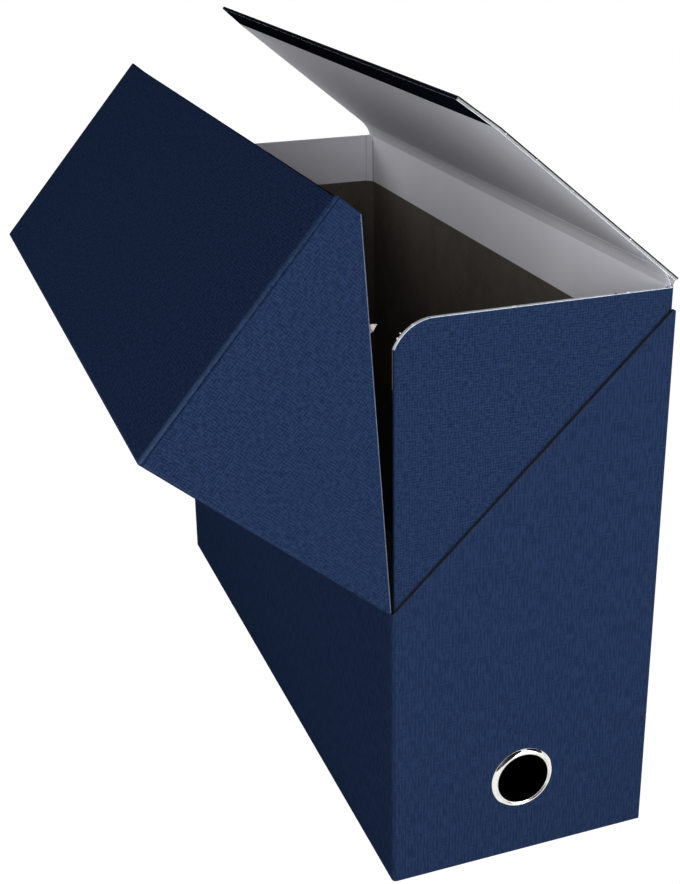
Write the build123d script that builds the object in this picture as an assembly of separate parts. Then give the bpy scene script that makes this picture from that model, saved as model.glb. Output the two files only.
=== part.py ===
from build123d import *
import math
import os

os.makedirs("parts", exist_ok=True)

# A folded board box for papers, with a drop front and a lid under it.
# The origin is at the middle of the underside. X runs across the box from
# the drop front's wall to the lid's wall, Y from the spine with the finger
# ring to the tail, Z upwards. The drop front and the lid stand part open.

# Overall size of the closed box
box_width = 120.0
box_length = 340.0
box_height = 255.0

# Sheet stock: rigid board, and the paper that covers it
board = 1.3
paper = 0.15

# Folds: radius of the inner face, and play between sheets that are not glued
inside_fold = 0.8
glue_line = 0.15
crease_gap = 0.4

# Height of the low wall, at whose top the drop front turns
drop_hinge_height = 129.2

# Outer end panels: fall of the diagonal's top end below the inner wings, and the free lower corner
diagonal_fall = 7.8
cut_corner_round = 0.8

# Inner wings: play to the drop front, rounded corner, worn edge, white band
wing_play = 0.2
wing_corner_radius = 18.0
wing_corner_drop = 11.0
wing_edge_round = 0.6
white_band_depth = 27.0

# Drop front
drop_reach_short = 2.6
drop_edge_round = 1.2
cheek_end_rise = 0.1
drop_rest_opening = 49.8

# Lid
lid_hinge_out = 1.65
lid_hinge_rise = 1.1
lid_hinge_setback = 1.6
lid_front_play = 0.3
lid_side_play = 0.55
lid_top_play = 0.25
lid_edge_round = 0.6
lid_crease_play = 0.35
lid_crease_web = 0.8
lid_corner_cut = 9.0
lid_corner_run = 17.0
lid_turn_in_width = 15.0
lid_rest_opening = 39.4

# Finger ring in the spine
ring_height = 38.0
ring_bore = 23.7
ring_outer = 29.0
ring_wall = 0.6
ring_crown = 1.5
ring_rim = 0.3
ring_hole_play = 0.15
ring_back_fit = 0.05
ring_back_sheet = 0.5

# Sizes that follow from those above
half_width = box_width / 2
half_length = box_length / 2
wall = board + paper
overshoot = 1.0
mitre = wall + paper + inside_fold + overshoot
wing_half_length = half_length - wall - glue_line
bottom_half_length = half_length - wall - inside_fold
wing_left = -half_width + wall + wing_play
wing_foot = wall + inside_fold
drop_right = half_width - drop_reach_short
lid_hinge_x = half_width + lid_hinge_out
lid_sheet = 2 * paper + board
lid_hinge_z = box_height - wall - lid_top_play - lid_sheet
wing_height = lid_hinge_z - lid_hinge_rise
diagonal_top = wing_height - diagonal_fall
lid_left = -half_width + wall + lid_front_play
lid_right = lid_hinge_x - lid_hinge_setback
lid_half_length = half_length - wall - lid_side_play
above = box_height + overshoot
beyond = half_length + overshoot


def rounded_outline(points, rounds):
    """Flat face through the points, with the numbered corners rounded."""
    face = make_face(Polyline(*points, close=True))
    for number, radius in rounds.items():
        corner = face.vertices().sort_by_distance((*points[number], 0))[0]
        face = fillet(corner, radius)
    return face


def plan_prism(points, low, high):
    """Upright prism whose outline is given as seen from above, in X and Y."""
    face = rounded_outline(points, {})
    return extrude(Plane.XY.offset(low) * face, high - low, dir=(0, 0, 1))


def along_length(face, half=beyond):
    """Prism along Y, reaching half to either side, of a face drawn in X and Z as seen from the spine."""
    plane = Plane(origin=(0, half, 0), x_dir=(1, 0, 0), z_dir=(0, -1, 0))
    return extrude(plane * face, 2 * half, dir=(0, -1, 0))


def side_prism(points, rounds=None):
    """Prism along the whole length whose outline is given as seen from the spine, in X and Z."""
    return along_length(rounded_outline(points, rounds or {}))


def end_prism(points):
    """Prism across the whole width whose outline is given as seen from the right, in Y and Z."""
    face = rounded_outline(points, {})
    plane = Plane(origin=(-half_width, 0, 0), x_dir=(0, 1, 0), z_dir=(1, 0, 0))
    return extrude(plane * face, box_width, dir=(1, 0, 0))


def rectangle(left, low, right, high):
    """Corners of a rectangle, anticlockwise from its lower left one."""
    return [(left, low), (right, low), (right, high), (left, high)]


def block(left, right, edge, low, high):
    """Block between two X values and two heights, reaching edge to either side in Y."""
    middle = Pos((left + right) / 2, 0, (low + high) / 2)
    return middle * Box(right - left, 2 * edge, high - low)


def fold_radius(depth):
    """Radius of a fold at a depth below the covered outer face."""
    return inside_fold + wall - depth


def uprights(solid, side):
    """The two upright edges at the left (0) or right (-1) of a block."""
    return solid.edges().filter_by(Axis.Z).group_by(Axis.X)[side]


def foot(solid, side):
    """The bottom edge along Y at the left (0) or right (-1) of a block."""
    low_edges = solid.edges().filter_by(Axis.Y).group_by(Axis.Z)[0]
    return low_edges.group_by(Axis.X)[side]


def roof(solid):
    """The top edges of a block, but for the one at its right."""
    return solid.edges().group_by(Axis.Z)[-1].sort_by(Axis.X)[:-1]


def side_of(solid, sign):
    """The solid as it is at the spine, or its mirror image at the tail."""
    return solid if sign < 0 else mirror(solid, about=Plane.XZ)


def save(name, solid):
    """Write one piece to its own file."""
    export_step(solid, "parts/" + name + ".step")


# Envelopes at a depth below the covered outer faces

def left_shell(depth):
    """Space inside the left wall, with its folds to the bottom and to the end panels."""
    space = block(-half_width + depth, half_width, half_length - depth, depth, above)
    return fillet(uprights(space, 0) + foot(space, 0), fold_radius(depth))


def right_shell(depth):
    """Space inside the right wall, with its folds to the bottom and to the wings."""
    space = block(-half_width, half_width - depth, wing_half_length - depth, depth, above)
    return fillet(uprights(space, -1) + foot(space, -1), fold_radius(depth))


def bottom_shell(depth):
    """Space over the bottom, with its folds to both side walls."""
    space = block(-half_width + depth, half_width - depth, bottom_half_length, depth, above)
    return fillet(foot(space, 0) + foot(space, -1), fold_radius(depth))


def outer_sleeve(depth):
    """Space between the two outer end panels, with their folds to the left wall."""
    space = block(-half_width + depth, half_width, half_length - depth, -overshoot, above)
    return fillet(uprights(space, 0), fold_radius(depth))


def inner_sleeve(depth, left=wing_left):
    """Space between the two inner wings, with their folds to the right wall."""
    space = block(left, half_width - depth, wing_half_length - depth, -overshoot, above)
    return fillet(uprights(space, -1), fold_radius(depth))


def drop_hollow(depth):
    """Space inside the closed drop front."""
    space = block(-half_width + depth, half_width, half_length - depth, 0.0, box_height - depth)
    return fillet(uprights(space, 0) + roof(space), fold_radius(depth))


# Regions that share a folded sheet out between its panels, each ending in a mitre.
# The sign is that of the side wall's X: -1 for the left one, 1 for the right one.

def wall_region(sign, edge):
    """Everything nearer to a side wall than to the end panels folded from it."""
    face = sign * half_width
    inner = sign * (half_width - mitre)
    points = [(face, -edge), (face, edge), (inner, edge - mitre), (inner, mitre - edge)]
    return plan_prism(points, -overshoot, above)


def end_region(sign, edge):
    """Everything nearer to the spine's panel than to the side wall that it is folded from."""
    face = sign * half_width
    inner = sign * (half_width - mitre)
    points = [(face, -edge), (-face, -edge), (-face, mitre - edge), (inner, mitre - edge)]
    return plan_prism(points, -overshoot, above)


def over_bottom(sign):
    """Everything nearer to a side wall than to the bottom."""
    face = sign * half_width
    inner = sign * (half_width - mitre)
    return side_prism([(face, 0), (face, above), (inner, above), (inner, mitre)])


# Fixed panels: the left wall, the bottom and the right wall are one folded strip

left_height = drop_hinge_height - crease_gap / 2
left_cut = wall_region(-1, half_length) & over_bottom(-1)
left_cut = left_cut & side_prism(rectangle(-half_width, 0, 0, left_height))
save("left_wall_cover", (left_shell(0.0) - left_shell(paper)) & left_cut)
save("left_wall_board", (left_shell(paper) - left_shell(wall)) & left_cut)

right_cut = wall_region(1, wing_half_length) & over_bottom(1)
right_cut = right_cut & side_prism(rectangle(0, 0, half_width, wing_height))
save("right_wall_cover", (right_shell(0.0) - right_shell(paper)) & right_cut)
save("right_wall_board", (right_shell(paper) - right_shell(wall)) & right_cut)

bottom_inner = half_width - mitre
bottom_cut = side_prism([(-half_width, 0), (half_width, 0), (bottom_inner, mitre), (-bottom_inner, mitre)])
save("bottom_cover", (bottom_shell(0.0) - bottom_shell(paper)) & bottom_cut)
save("bottom_board", (bottom_shell(paper) - bottom_shell(wall)) & bottom_cut)


# End panels: an outer one folded from the left wall, an inner wing from the right wall

ring_radius = ring_bore / 2
barrel_radius = ring_radius + ring_wall
ring_hole = Pos(0, -half_length, ring_height) * Rot(90, 0, 0) * Cylinder(
    barrel_radius + ring_hole_play, half_length
)

diagonal_slope = (diagonal_top - drop_hinge_height) / box_width
outer_outline = [
    (-half_width - overshoot, 0.0),
    (half_width, 0.0),
    (half_width, diagonal_top),
    (-half_width - overshoot, left_height - diagonal_slope * overshoot),
]
outer_profile = side_prism(outer_outline, {1: cut_corner_round})
outer_end_cut = end_region(-1, half_length) & outer_profile


def wing_outline():
    """Face of an inner wing, its upper left corner rounded by an arc that the free edge cuts short."""
    fall = wing_corner_radius - wing_corner_drop
    centre_x = wing_left + math.sqrt(wing_corner_radius**2 - fall**2)
    centre_z = wing_height - wing_corner_radius
    half_sweep = math.acos(fall / wing_corner_radius) / 2
    middle = (
        centre_x - wing_corner_radius * math.sin(half_sweep),
        centre_z + wing_corner_radius * math.cos(half_sweep),
    )
    edges = Polyline(
        (wing_left, wing_height - wing_corner_drop),
        (wing_left, wing_foot),
        (half_width, wing_foot),
        (half_width, wing_height),
        (centre_x, wing_height),
    )
    return make_face(edges + ThreePointArc(edges @ 0, middle, edges @ 1))


wing_cut = end_region(1, wing_half_length) & along_length(wing_outline())
band_low = wing_height - white_band_depth
band_zone = side_prism(rectangle(-half_width, band_low, half_width, wing_height))

for sign, name in ((-1, "spine"), (1, "tail")):
    outer_cover = (outer_sleeve(0.0) - outer_sleeve(paper)) & outer_end_cut
    outer_board = (outer_sleeve(paper) - outer_sleeve(wall)) & outer_end_cut
    wing_skin = inner_sleeve(0.0, wing_left + wing_edge_round) - inner_sleeve(paper)
    wing_core = fillet(uprights(inner_sleeve(paper), 0), wing_edge_round) - inner_sleeve(wall)
    wing_band = (inner_sleeve(wall) - inner_sleeve(wall + paper)) & wing_cut & band_zone
    save(name + "_outer_cover", side_of(outer_cover, sign) - ring_hole)
    save(name + "_outer_board", side_of(outer_board, sign) - ring_hole)
    save(name + "_wing_cover", side_of(wing_skin & wing_cut, sign) - ring_hole)
    save(name + "_wing_board", side_of(wing_core & wing_cut, sign) - ring_hole)
    save(name + "_white_band", side_of(wing_band, sign))

band_sheet = (inner_sleeve(wall) - inner_sleeve(wall + paper)) & wall_region(1, wing_half_length)
save("right_wall_white_band", band_sheet & band_zone)


# Finger ring: an eyelet through both spine panels, clinched on a ring behind them

crown_middle = (ring_radius + ring_outer / 2) / 2
grip = wall + glue_line + wall
back_face = -grip - ring_back_sheet


def ring_turned(profile):
    """Turn a half profile, given as radius and height over the spine's face, about the ring's axis."""
    solid = revolve(Plane.XZ * make_face(profile), Axis.Z)
    return Pos(0, -half_length, ring_height) * Rot(90, 0, 0) * solid


eyelet = Polyline(
    (ring_outer / 2, ring_rim),
    (ring_outer / 2, 0.0),
    (barrel_radius, 0.0),
    (barrel_radius, back_face),
    (ring_radius, back_face),
    (ring_radius, ring_rim),
) + ThreePointArc((ring_radius, ring_rim), (crown_middle, ring_crown), (ring_outer / 2, ring_rim))
save("finger_ring", ring_turned(eyelet))

back_ring = Polyline(
    (ring_outer / 2, -grip),
    (ring_outer / 2, back_face),
    (barrel_radius + ring_back_fit, back_face),
    (barrel_radius + ring_back_fit, -grip),
    close=True,
)
save("finger_ring_back", ring_turned(back_ring))


# Drop front: front, top and two cheeks, drawn closed and then opened about the hinge

drop_low = drop_hinge_height + crease_gap / 2
cheek_end = diagonal_top + cheek_end_rise
drop_outline = [
    (-half_width, drop_low),
    (drop_right, cheek_end),
    (drop_right, box_height),
    (-half_width, box_height),
]
drop_shape = side_prism(drop_outline, {2: drop_edge_round})
drop_hinge = Axis((-half_width, 0, drop_hinge_height), (0, -1, 0))

# Corners of the drop front's mitres, in X, in Y and in Z
front_face = -half_width
front_inner = mitre - half_width
cheek_inner = half_length - mitre
top_inner = box_height - mitre
front_wedge = side_prism(
    [(front_face, 0), (front_inner, 0), (front_inner, top_inner), (front_face, box_height)]
)
top_wedge = side_prism(
    [(front_face, box_height), (front_inner, top_inner), (half_width, top_inner), (half_width, box_height)]
)
top_span = end_prism(
    [(-half_length, box_height), (-cheek_inner, top_inner), (cheek_inner, top_inner), (half_length, box_height)]
)
cheek_wedge = end_prism(
    [(-half_length, 0), (-cheek_inner, 0), (-cheek_inner, top_inner), (-half_length, box_height)]
)


def opened_drop(solid):
    """Turn a piece of the closed drop front to the pose in which it stands open."""
    return solid.rotate(drop_hinge, drop_rest_opening)


for layer, shallow, deep in (("cover", 0.0, paper), ("board", paper, wall)):
    sheet = (drop_hollow(shallow) - drop_hollow(deep)) & drop_shape
    cheek = sheet & end_region(-1, half_length) & cheek_wedge
    save("drop_front_" + layer, opened_drop(sheet & wall_region(-1, half_length) & front_wedge))
    save("drop_top_" + layer, opened_drop(sheet & top_wedge & top_span))
    save("drop_spine_cheek_" + layer, opened_drop(cheek))
    save("drop_tail_cheek_" + layer, opened_drop(side_of(cheek, 1)))


# Crease of the lid: the pressed bead of board on which the lid turns, over the right wall

bead_radius = lid_hinge_setback - lid_crease_play
bead = Pos(lid_hinge_x, 0, lid_hinge_z) * Rot(90, 0, 0) * Cylinder(bead_radius, 2 * lid_half_length)
web_outline = [
    (half_width - wall, wing_height),
    (half_width, wing_height),
    (lid_hinge_x, lid_hinge_z - bead_radius),
    (lid_hinge_x, lid_hinge_z),
    (half_width - wall, wing_height + lid_crease_web),
]
web = along_length(rounded_outline(web_outline, {}), lid_half_length)
save("lid_crease", bead + web)


# Lid: a flat board, covered outside, lined inside, the cover turned in at its free edge

lid_hinge = Axis((lid_hinge_x, 0, lid_hinge_z), (0, 1, 0))
lid_outline = [
    (lid_right, -lid_half_length),
    (lid_right, lid_half_length),
    (lid_left + lid_corner_run, lid_half_length),
    (lid_left, lid_half_length - lid_corner_cut),
    (lid_left, lid_corner_cut - lid_half_length),
    (lid_left + lid_corner_run, -lid_half_length),
]
lid_side = rectangle(lid_left, lid_hinge_z, lid_right, lid_hinge_z + lid_sheet)
lid_shape = side_prism(lid_side, {3: lid_edge_round})
turn_in_edge = lid_left + lid_turn_in_width


def lid_layer(low, high, start, end):
    """One sheet of the closed lid between two heights over its underside."""
    sheet = plan_prism(lid_outline, lid_hinge_z + low, lid_hinge_z + high) & lid_shape
    return sheet & side_prism(rectangle(start, 0, end, above))


def opened_lid(solid):
    """Turn a piece of the closed lid to the pose in which it stands open."""
    return solid.rotate(lid_hinge, lid_rest_opening)


save("lid_liner", opened_lid(lid_layer(0.0, paper, turn_in_edge, lid_right)))
save("lid_turn_in", opened_lid(lid_layer(0.0, paper, lid_left, turn_in_edge)))
save("lid_board", opened_lid(lid_layer(paper, paper + board, lid_left, lid_right)))
save("lid_cover", opened_lid(lid_layer(paper + board, lid_sheet, lid_left, lid_right)))
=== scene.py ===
"""Dresses the transfer file box: linen paper over board, a drop front, a lid and a finger ring.

Every piece is drawn in metres in the part's own frame. X runs across the box from the drop
front's wall to the lid's wall, Y from the spine with the ring to the tail, Z upwards. The drop
front and the lid are drawn closed and then turned about their creases to stand part open.
"""

import logging
import math
from dataclasses import dataclass
from enum import Enum
from typing import Callable, Optional, Sequence, Union

import bmesh
import bpy
from mathutils import Matrix, Vector


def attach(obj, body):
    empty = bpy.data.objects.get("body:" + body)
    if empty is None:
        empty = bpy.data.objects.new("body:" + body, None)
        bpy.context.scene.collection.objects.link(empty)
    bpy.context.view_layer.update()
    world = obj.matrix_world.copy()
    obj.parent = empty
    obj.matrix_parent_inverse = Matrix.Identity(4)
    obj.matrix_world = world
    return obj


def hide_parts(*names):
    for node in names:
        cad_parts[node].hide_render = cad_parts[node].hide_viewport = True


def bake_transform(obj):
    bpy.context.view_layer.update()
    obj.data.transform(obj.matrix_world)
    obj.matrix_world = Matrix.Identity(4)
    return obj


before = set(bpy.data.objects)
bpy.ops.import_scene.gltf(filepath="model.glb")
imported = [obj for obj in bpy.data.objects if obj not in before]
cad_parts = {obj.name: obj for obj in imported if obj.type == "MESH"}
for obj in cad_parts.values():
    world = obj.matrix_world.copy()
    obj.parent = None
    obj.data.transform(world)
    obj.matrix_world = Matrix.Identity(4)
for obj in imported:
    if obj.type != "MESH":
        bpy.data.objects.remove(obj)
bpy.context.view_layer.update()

logging.basicConfig(level=logging.INFO, format="%(message)s")
log = logging.getLogger("file_box")

Colour = tuple[float, float, float, float]
Point = tuple[float, float, float]

LEFT = Vector((-1.0, 0.0, 0.0))
RIGHT = Vector((1.0, 0.0, 0.0))
SPINE = Vector((0.0, -1.0, 0.0))
TAIL = Vector((0.0, 1.0, 0.0))
DOWN = Vector((0.0, 0.0, -1.0))
UP = Vector((0.0, 0.0, 1.0))
BOTH_ENDS = (-1.0, 1.0)

# Distance from a fold to the edge loop beside it, and distance over which a pressed line of painted
# shade fades
FOLD_REACH = 0.004
PRESSED_WIDTH = 0.0005

# Size of the square that is taken out round a hole, compared with the hole
SQUARE_PER_HOLE = 1.45

# Distances under which points count as one, as level, and as in one row
WELD = 1e-7
LEVEL = 1e-6
ROW = 1e-5

# Least cosines between a surface and the way that it is said to face
SQUARE_ON = 0.9
ON_THE_WALL = 0.8
ON_THE_BEND = 0.72

# Places in a piece's list of finishes, where the faces' own is at 0
CUT_EDGE = 1
PICKED = 2
# Place of the near-black navy that paints shade on the drop front's free edge
FREE_EDGE = 3


class Body(Enum):
    """The parts of the box that move against each other."""

    CASE = "case"
    DROP_FRONT = "drop_front"
    LID = "lid"


class Slot(Enum):
    """The finishes that a maker may change."""

    NAVY_PAPER = "navy_paper"
    RAW_BOARD = "raw_board"
    WHITE_PAPER = "white_paper"
    PLATED_RING = "plated_ring"


@dataclass(frozen=True)
class Stock:
    """Sizes that the sub-assemblies share, in metres, and the openings in degrees."""

    half_width: float = 0.060
    half_length: float = 0.170
    height: float = 0.255
    board: float = 0.0013
    paper: float = 0.00015
    lid_lining: float = 0.00012
    inside_fold: float = 0.0008
    wing_half_length: float = 0.1684
    wing_left: float = -0.05835
    wing_height: float = 0.2506
    drop_hinge_height: float = 0.1292
    crease_gap: float = 0.0004
    diagonal_top: float = 0.2428
    lid_hinge_x: float = 0.06165
    lid_hinge_z: float = 0.2517
    drop_opening: float = 49.8
    lid_opening: float = 39.4
    ring_height: float = 0.038

    @property
    def drop_hinge(self) -> Point:
        """A point of the axis that the drop front turns about."""
        return (-self.half_width, 0.0, self.drop_hinge_height)

    @property
    def lid_hinge(self) -> Point:
        """A point of the axis that the lid turns about."""
        return (self.lid_hinge_x, 0.0, self.lid_hinge_z)

    @property
    def wall(self) -> float:
        """Thickness of covered board."""
        return self.board + self.paper

    @property
    def foot(self) -> float:
        """Height at which a side wall's fold to the bottom begins."""
        return self.wall + self.inside_fold

    @property
    def diagonal_slope(self) -> float:
        """Rise of the outer end panels' diagonal edge over its run."""
        return (self.diagonal_top - self.drop_hinge_height) / (2 * self.half_width)

    def fold(self, depth: float) -> float:
        """Radius of a fold.

        Args:
            depth: Depth of the sheet's outer face below the covered face.

        Returns:
            The radius at that depth.
        """
        return self.inside_fold + self.wall - depth


STOCK = Stock()


# Shader work

Value = Union["Wire", float, int]


class Wire:
    """A number on its way through a shader, which sums and products may use."""

    def __init__(self, bench: "Bench", socket: bpy.types.NodeSocket) -> None:
        """Keeps the socket.

        Args:
            bench: The material's node bench.
            socket: The output that carries the number.
        """
        self.bench = bench
        self.socket = socket

    def _math(self, operation: str, first: Value, second: Value = 0.0) -> "Wire":
        """Adds one Math node.

        Args:
            operation: The Math node's operation.
            first: Its first value.
            second: Its second value.

        Returns:
            The result.
        """
        return self.bench.node("ShaderNodeMath", {"operation": operation}, {0: first, 1: second})

    def __add__(self, other: Value) -> "Wire":
        """Sum."""
        return self._math("ADD", self, other)

    def __radd__(self, other: Value) -> "Wire":
        """Sum with the number first."""
        return self._math("ADD", other, self)

    def __sub__(self, other: Value) -> "Wire":
        """Difference."""
        return self._math("SUBTRACT", self, other)

    def __rsub__(self, other: Value) -> "Wire":
        """Difference with the number first."""
        return self._math("SUBTRACT", other, self)

    def __mul__(self, other: Value) -> "Wire":
        """Product."""
        return self._math("MULTIPLY", self, other)

    def __rmul__(self, other: Value) -> "Wire":
        """Product with the number first."""
        return self._math("MULTIPLY", other, self)

    def sine(self) -> "Wire":
        """Sine of an angle in radians."""
        return self._math("SINE", self)

    def largest(self, other: Value) -> "Wire":
        """The larger of two numbers."""
        return self._math("MAXIMUM", self, other)

    def between(self, low: float, high: float) -> "Wire":
        """Rises smoothly from 0 at low to 1 at high.

        Args:
            low: Value at which the result leaves 0.
            high: Value at which the result reaches 1.

        Returns:
            The eased number.
        """
        return self.bench.node(
            "ShaderNodeMapRange",
            {"interpolation_type": "SMOOTHSTEP", "clamp": True},
            {"Value": self, "From Min": low, "From Max": high, "To Min": 0.0, "To Max": 1.0},
        )


class Bench:
    """The nodes of one material or of the world."""

    def __init__(self, tree: bpy.types.NodeTree) -> None:
        """Clears the tree.

        Args:
            tree: The node tree to work on.
        """
        self.tree = tree
        tree.nodes.clear()

    def node(
        self,
        kind: str,
        settings: Optional[dict[str, object]] = None,
        inputs: Optional[dict[Union[str, int], object]] = None,
        output: Union[str, int] = 0,
    ) -> Wire:
        """Adds a node, sets it, and then fills or links its sockets.

        Args:
            kind: The node's type.
            settings: The node's own settings, which are set first.
            inputs: Values or wires for its sockets, by name or number.
            output: The output that is wanted, by name or number.

        Returns:
            A wire from that output.
        """
        added = self.tree.nodes.new(kind)
        for name, value in (settings or {}).items():
            setattr(added, name, value)
        for name, value in (inputs or {}).items():
            socket = added.inputs[name]
            if isinstance(value, Wire):
                self.tree.links.new(value.socket, socket)
            else:
                socket.default_value = value
        found = added.outputs[output] if added.outputs else None
        return Wire(self, found)

    def blend(self, share: Value, first: object, second: object, way: str = "MIX") -> Wire:
        """Mixes two colours.

        Args:
            share: Share of the second colour.
            first: Colour or wire.
            second: Colour or wire.
            way: The Mix node's blend type.

        Returns:
            The mixed colour.
        """
        settings = {"data_type": "RGBA", "blend_type": way, "clamp_factor": True}
        return self.node("ShaderNodeMix", settings, {0: share, 6: first, 7: second}, 2)

    def place(self) -> Wire:
        """The piece's own coordinates."""
        return self.node("ShaderNodeTexCoord", {}, {}, "Object")

    def mark(self, name: str) -> Wire:
        """Strength, from 0 to 1, of a mark that the sheet carries under a name."""
        return self.node("ShaderNodeAttribute", {"attribute_name": name}, {}, "Fac")

    def stretched(self, place: Wire, scale: Point) -> Wire:
        """Scales a pattern's coordinates, each axis by a number of its own."""
        settings = {"vector_type": "POINT"}
        return self.node("ShaderNodeMapping", settings, {"Vector": place, "Scale": scale})

    def grain(
        self, place: Wire, scale: float, detail: float = 2.0, rough: float = 0.5, bend: float = 0.0
    ) -> Wire:
        """Smooth noise from 0 to 1.

        Args:
            place: The coordinates.
            scale: Number of blobs to a metre of them.
            detail: Number of finer layers.
            rough: Weight of the finer layers.
            bend: Distortion.

        Returns:
            The noise.
        """
        settings = {"noise_dimensions": "3D", "normalize": True}
        shape = {"Scale": scale, "Detail": detail, "Roughness": rough, "Distortion": bend}
        return self.node("ShaderNodeTexNoise", settings, {"Vector": place, **shape})

    def relief(self, strength: float, depth: float, height: Wire) -> Wire:
        """Raises and sinks the surface in the light.

        Args:
            strength: Share of the effect.
            depth: Depth, in metres, from the lowest to the highest point.
            height: The pattern, from 0 to 1.

        Returns:
            The surface's directions.
        """
        values = {"Strength": strength, "Distance": depth, "Height": height}
        return self.node("ShaderNodeBump", {}, values)


# Finishes


@dataclass(frozen=True)
class Finish:
    """A surface finish."""

    name: str

    def material(self) -> bpy.types.Material:
        """Makes the finish's material the first time that it is asked for.

        Returns:
            The material.
        """
        found = bpy.data.materials.get(self.name)
        if found is None:
            found = bpy.data.materials.new(self.name)
            found.use_nodes = True
            self.mix(Bench(found.node_tree))
        return found

    def mix(self, bench: Bench) -> None:
        """Lays out the finish's nodes.

        Args:
            bench: The material's empty bench.
        """
        raise NotImplementedError

    @staticmethod
    def lay_on(
        bench: Bench, colour: Wire, rough: Wire, relief: Wire, shine: float, metal: float = 0.0
    ) -> None:
        """Ends the nodes with a surface.

        Args:
            bench: The material's bench.
            colour: The surface's colour.
            rough: Its roughness.
            relief: Its directions in the light.
            shine: Strength of the sheen on it.
            metal: 1 for metal.
        """
        look = {"Base Color": colour, "Roughness": rough, "Metallic": metal}
        look |= {"Specular IOR Level": shine, "Normal": relief}
        surface = bench.node("ShaderNodeBsdfPrincipled", {}, look)
        bench.node("ShaderNodeOutputMaterial", {}, {"Surface": surface})


@dataclass(frozen=True)
class LinenPaper(Finish):
    """Coloured paper pressed with the threads of a fine cloth."""

    name: str = "navy_linen_paper"
    thread: Colour = (0.0150, 0.0286, 0.0700, 1.0)
    hollow: Colour = (0.0096, 0.0188, 0.0474, 1.0)
    cloud: Colour = (0.0115, 0.0230, 0.0570, 1.0)
    # Lighter navy on folds: partly real rubbing, partly painted highlight
    rub_and_highlight_colour: Colour = (0.0430, 0.0680, 0.1300, 1.0)
    # Painted shade for the dark line of a pressed crease
    crease_shade_colour: Colour = (0.0015, 0.0045, 0.0140, 1.0)
    threads_to_metre: float = 690.0
    thread_length: float = 0.0055
    patch_scale: float = 240.0
    patch_swing: float = 0.50
    slub_scale: float = 900.0
    slub_share: float = 0.16
    upright_share: float = 0.74
    sway_scale: float = 130.0
    sway: float = 1.5
    rib_share: float = 0.42
    cloud_scale: float = 9.0
    cloud_share: float = 0.25
    scuff_scale: float = 260.0
    scuff_relief: float = 0.12
    # Share of the painted shade along pressed creases
    crease_shade_share: float = 0.85
    pressed_depth: float = 0.00010

    def _ribs(self, bench: Bench, place: Wire, across: str) -> Wire:
        """Rows of short raised threads.

        Args:
            bench: The material's bench.
            place: The coordinates on the flat sheet.
            across: The coordinate that counts the rows, X or Y.

        Returns:
            Their height, from 0 to 1.
        """
        rows = bench.node("ShaderNodeSeparateXYZ", {}, {0: place}, across)
        sway = bench.grain(place, self.sway_scale, 2.0, 0.6)
        phase = (rows * self.threads_to_metre + sway * self.sway) * math.tau
        rib = phase.sine() * 0.5 + 0.5
        fine, long = self.threads_to_metre * 1.9, 1.0 / self.thread_length
        scale = (fine, long, 1.0) if across == "X" else (long, fine, 1.0)
        dashes = bench.grain(bench.stretched(place, scale), 1.0, 1.0, 0.5)
        return rib * self.rib_share + dashes.between(0.36, 0.64) * (1.0 - self.rib_share)

    def mix(self, bench: Bench) -> None:
        """Lays out upright and level threads, their relief, rubbing with a painted highlight on the
        folds, and painted shade along creases.

        Args:
            bench: The material's empty bench.
        """
        place = bench.node("ShaderNodeUVMap", {"uv_map": "sheet"})
        patches = bench.grain(place, self.patch_scale, 1.0, 0.5)
        least = self.upright_share - self.patch_swing / 2
        share = patches.between(0.35, 0.65) * self.patch_swing + least
        ribs = self._ribs(bench, place, "X") * share + self._ribs(bench, place, "Y") * (1.0 - share)
        slubs = bench.grain(place, self.slub_scale, 1.0, 0.5)
        raised = (ribs * (1.0 - self.slub_share) + slubs * self.slub_share).between(0.30, 0.70)
        cloth = bench.blend(raised, self.hollow, self.thread)
        clouds = bench.grain(place, self.cloud_scale, 2.0, 0.6)
        cloth = bench.blend(clouds.between(0.3, 0.8) * self.cloud_share, cloth, self.cloud)
        flat = bench.stretched(place, (self.scuff_scale, self.scuff_scale, 1.0))
        scuffs = bench.grain(flat, 1.0, 3.0, 0.6)
        # Rubbing and painted highlight on the marked folds, broken up by scuffs
        rub_and_highlight_share = bench.mark("fold") * (scuffs.between(0.25, 0.75) * 0.5 + 0.5)
        cloth = bench.blend(rub_and_highlight_share, cloth, self.rub_and_highlight_colour)
        # Painted shade along pressed creases, where the sheet marks it
        cloth = bench.blend(bench.mark("crease_shade") * self.crease_shade_share, cloth, self.crease_shade_colour)
        relief = bench.relief(0.55, self.pressed_depth, raised + scuffs * self.scuff_relief)
        self.lay_on(bench, cloth, 0.52 + raised * 0.10, relief, 0.0)


@dataclass(frozen=True)
class RawBoard(Finish):
    """The bare inner face of the board: grey brown, with fibres and specks."""

    name: str = "raw_grey_board"
    pale: Colour = (0.150, 0.130, 0.108, 1.0)
    dark: Colour = (0.090, 0.076, 0.062, 1.0)
    # Colour of the specks, which also paints shade along pressed creases
    fleck: Colour = (0.035, 0.028, 0.022, 1.0)
    cloud_scale: float = 60.0
    fibre_scale: Point = (420.0, 260.0, 420.0)
    fleck_scale: float = 620.0

    def mix(self, bench: Bench) -> None:
        """Lays out pulp clouds, fibres and flecks, and painted shade along pressed creases.

        Args:
            bench: The material's empty bench.
        """
        place = bench.place()
        clouds = bench.grain(place, self.cloud_scale, 4.0, 0.6)
        fibres = bench.grain(bench.stretched(place, self.fibre_scale), 1.0, 3.0, 0.65, 0.4)
        pulp = bench.blend(clouds.between(0.3, 0.7) * 0.4 + fibres * 0.6, self.dark, self.pale)
        specks = bench.grain(place, self.fleck_scale, 1.0, 0.5).between(0.70, 0.78)
        pulp = bench.blend(specks * 0.7, pulp, self.fleck)
        # Painted shade along pressed creases, in the specks' colour
        pulp = bench.blend(bench.mark("crease_shade") * 0.8, pulp, self.fleck)
        relief = bench.relief(0.5, 0.0001, fibres)
        self.lay_on(bench, pulp, 0.82 + fibres * 0.12, relief, 0.15)


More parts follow.
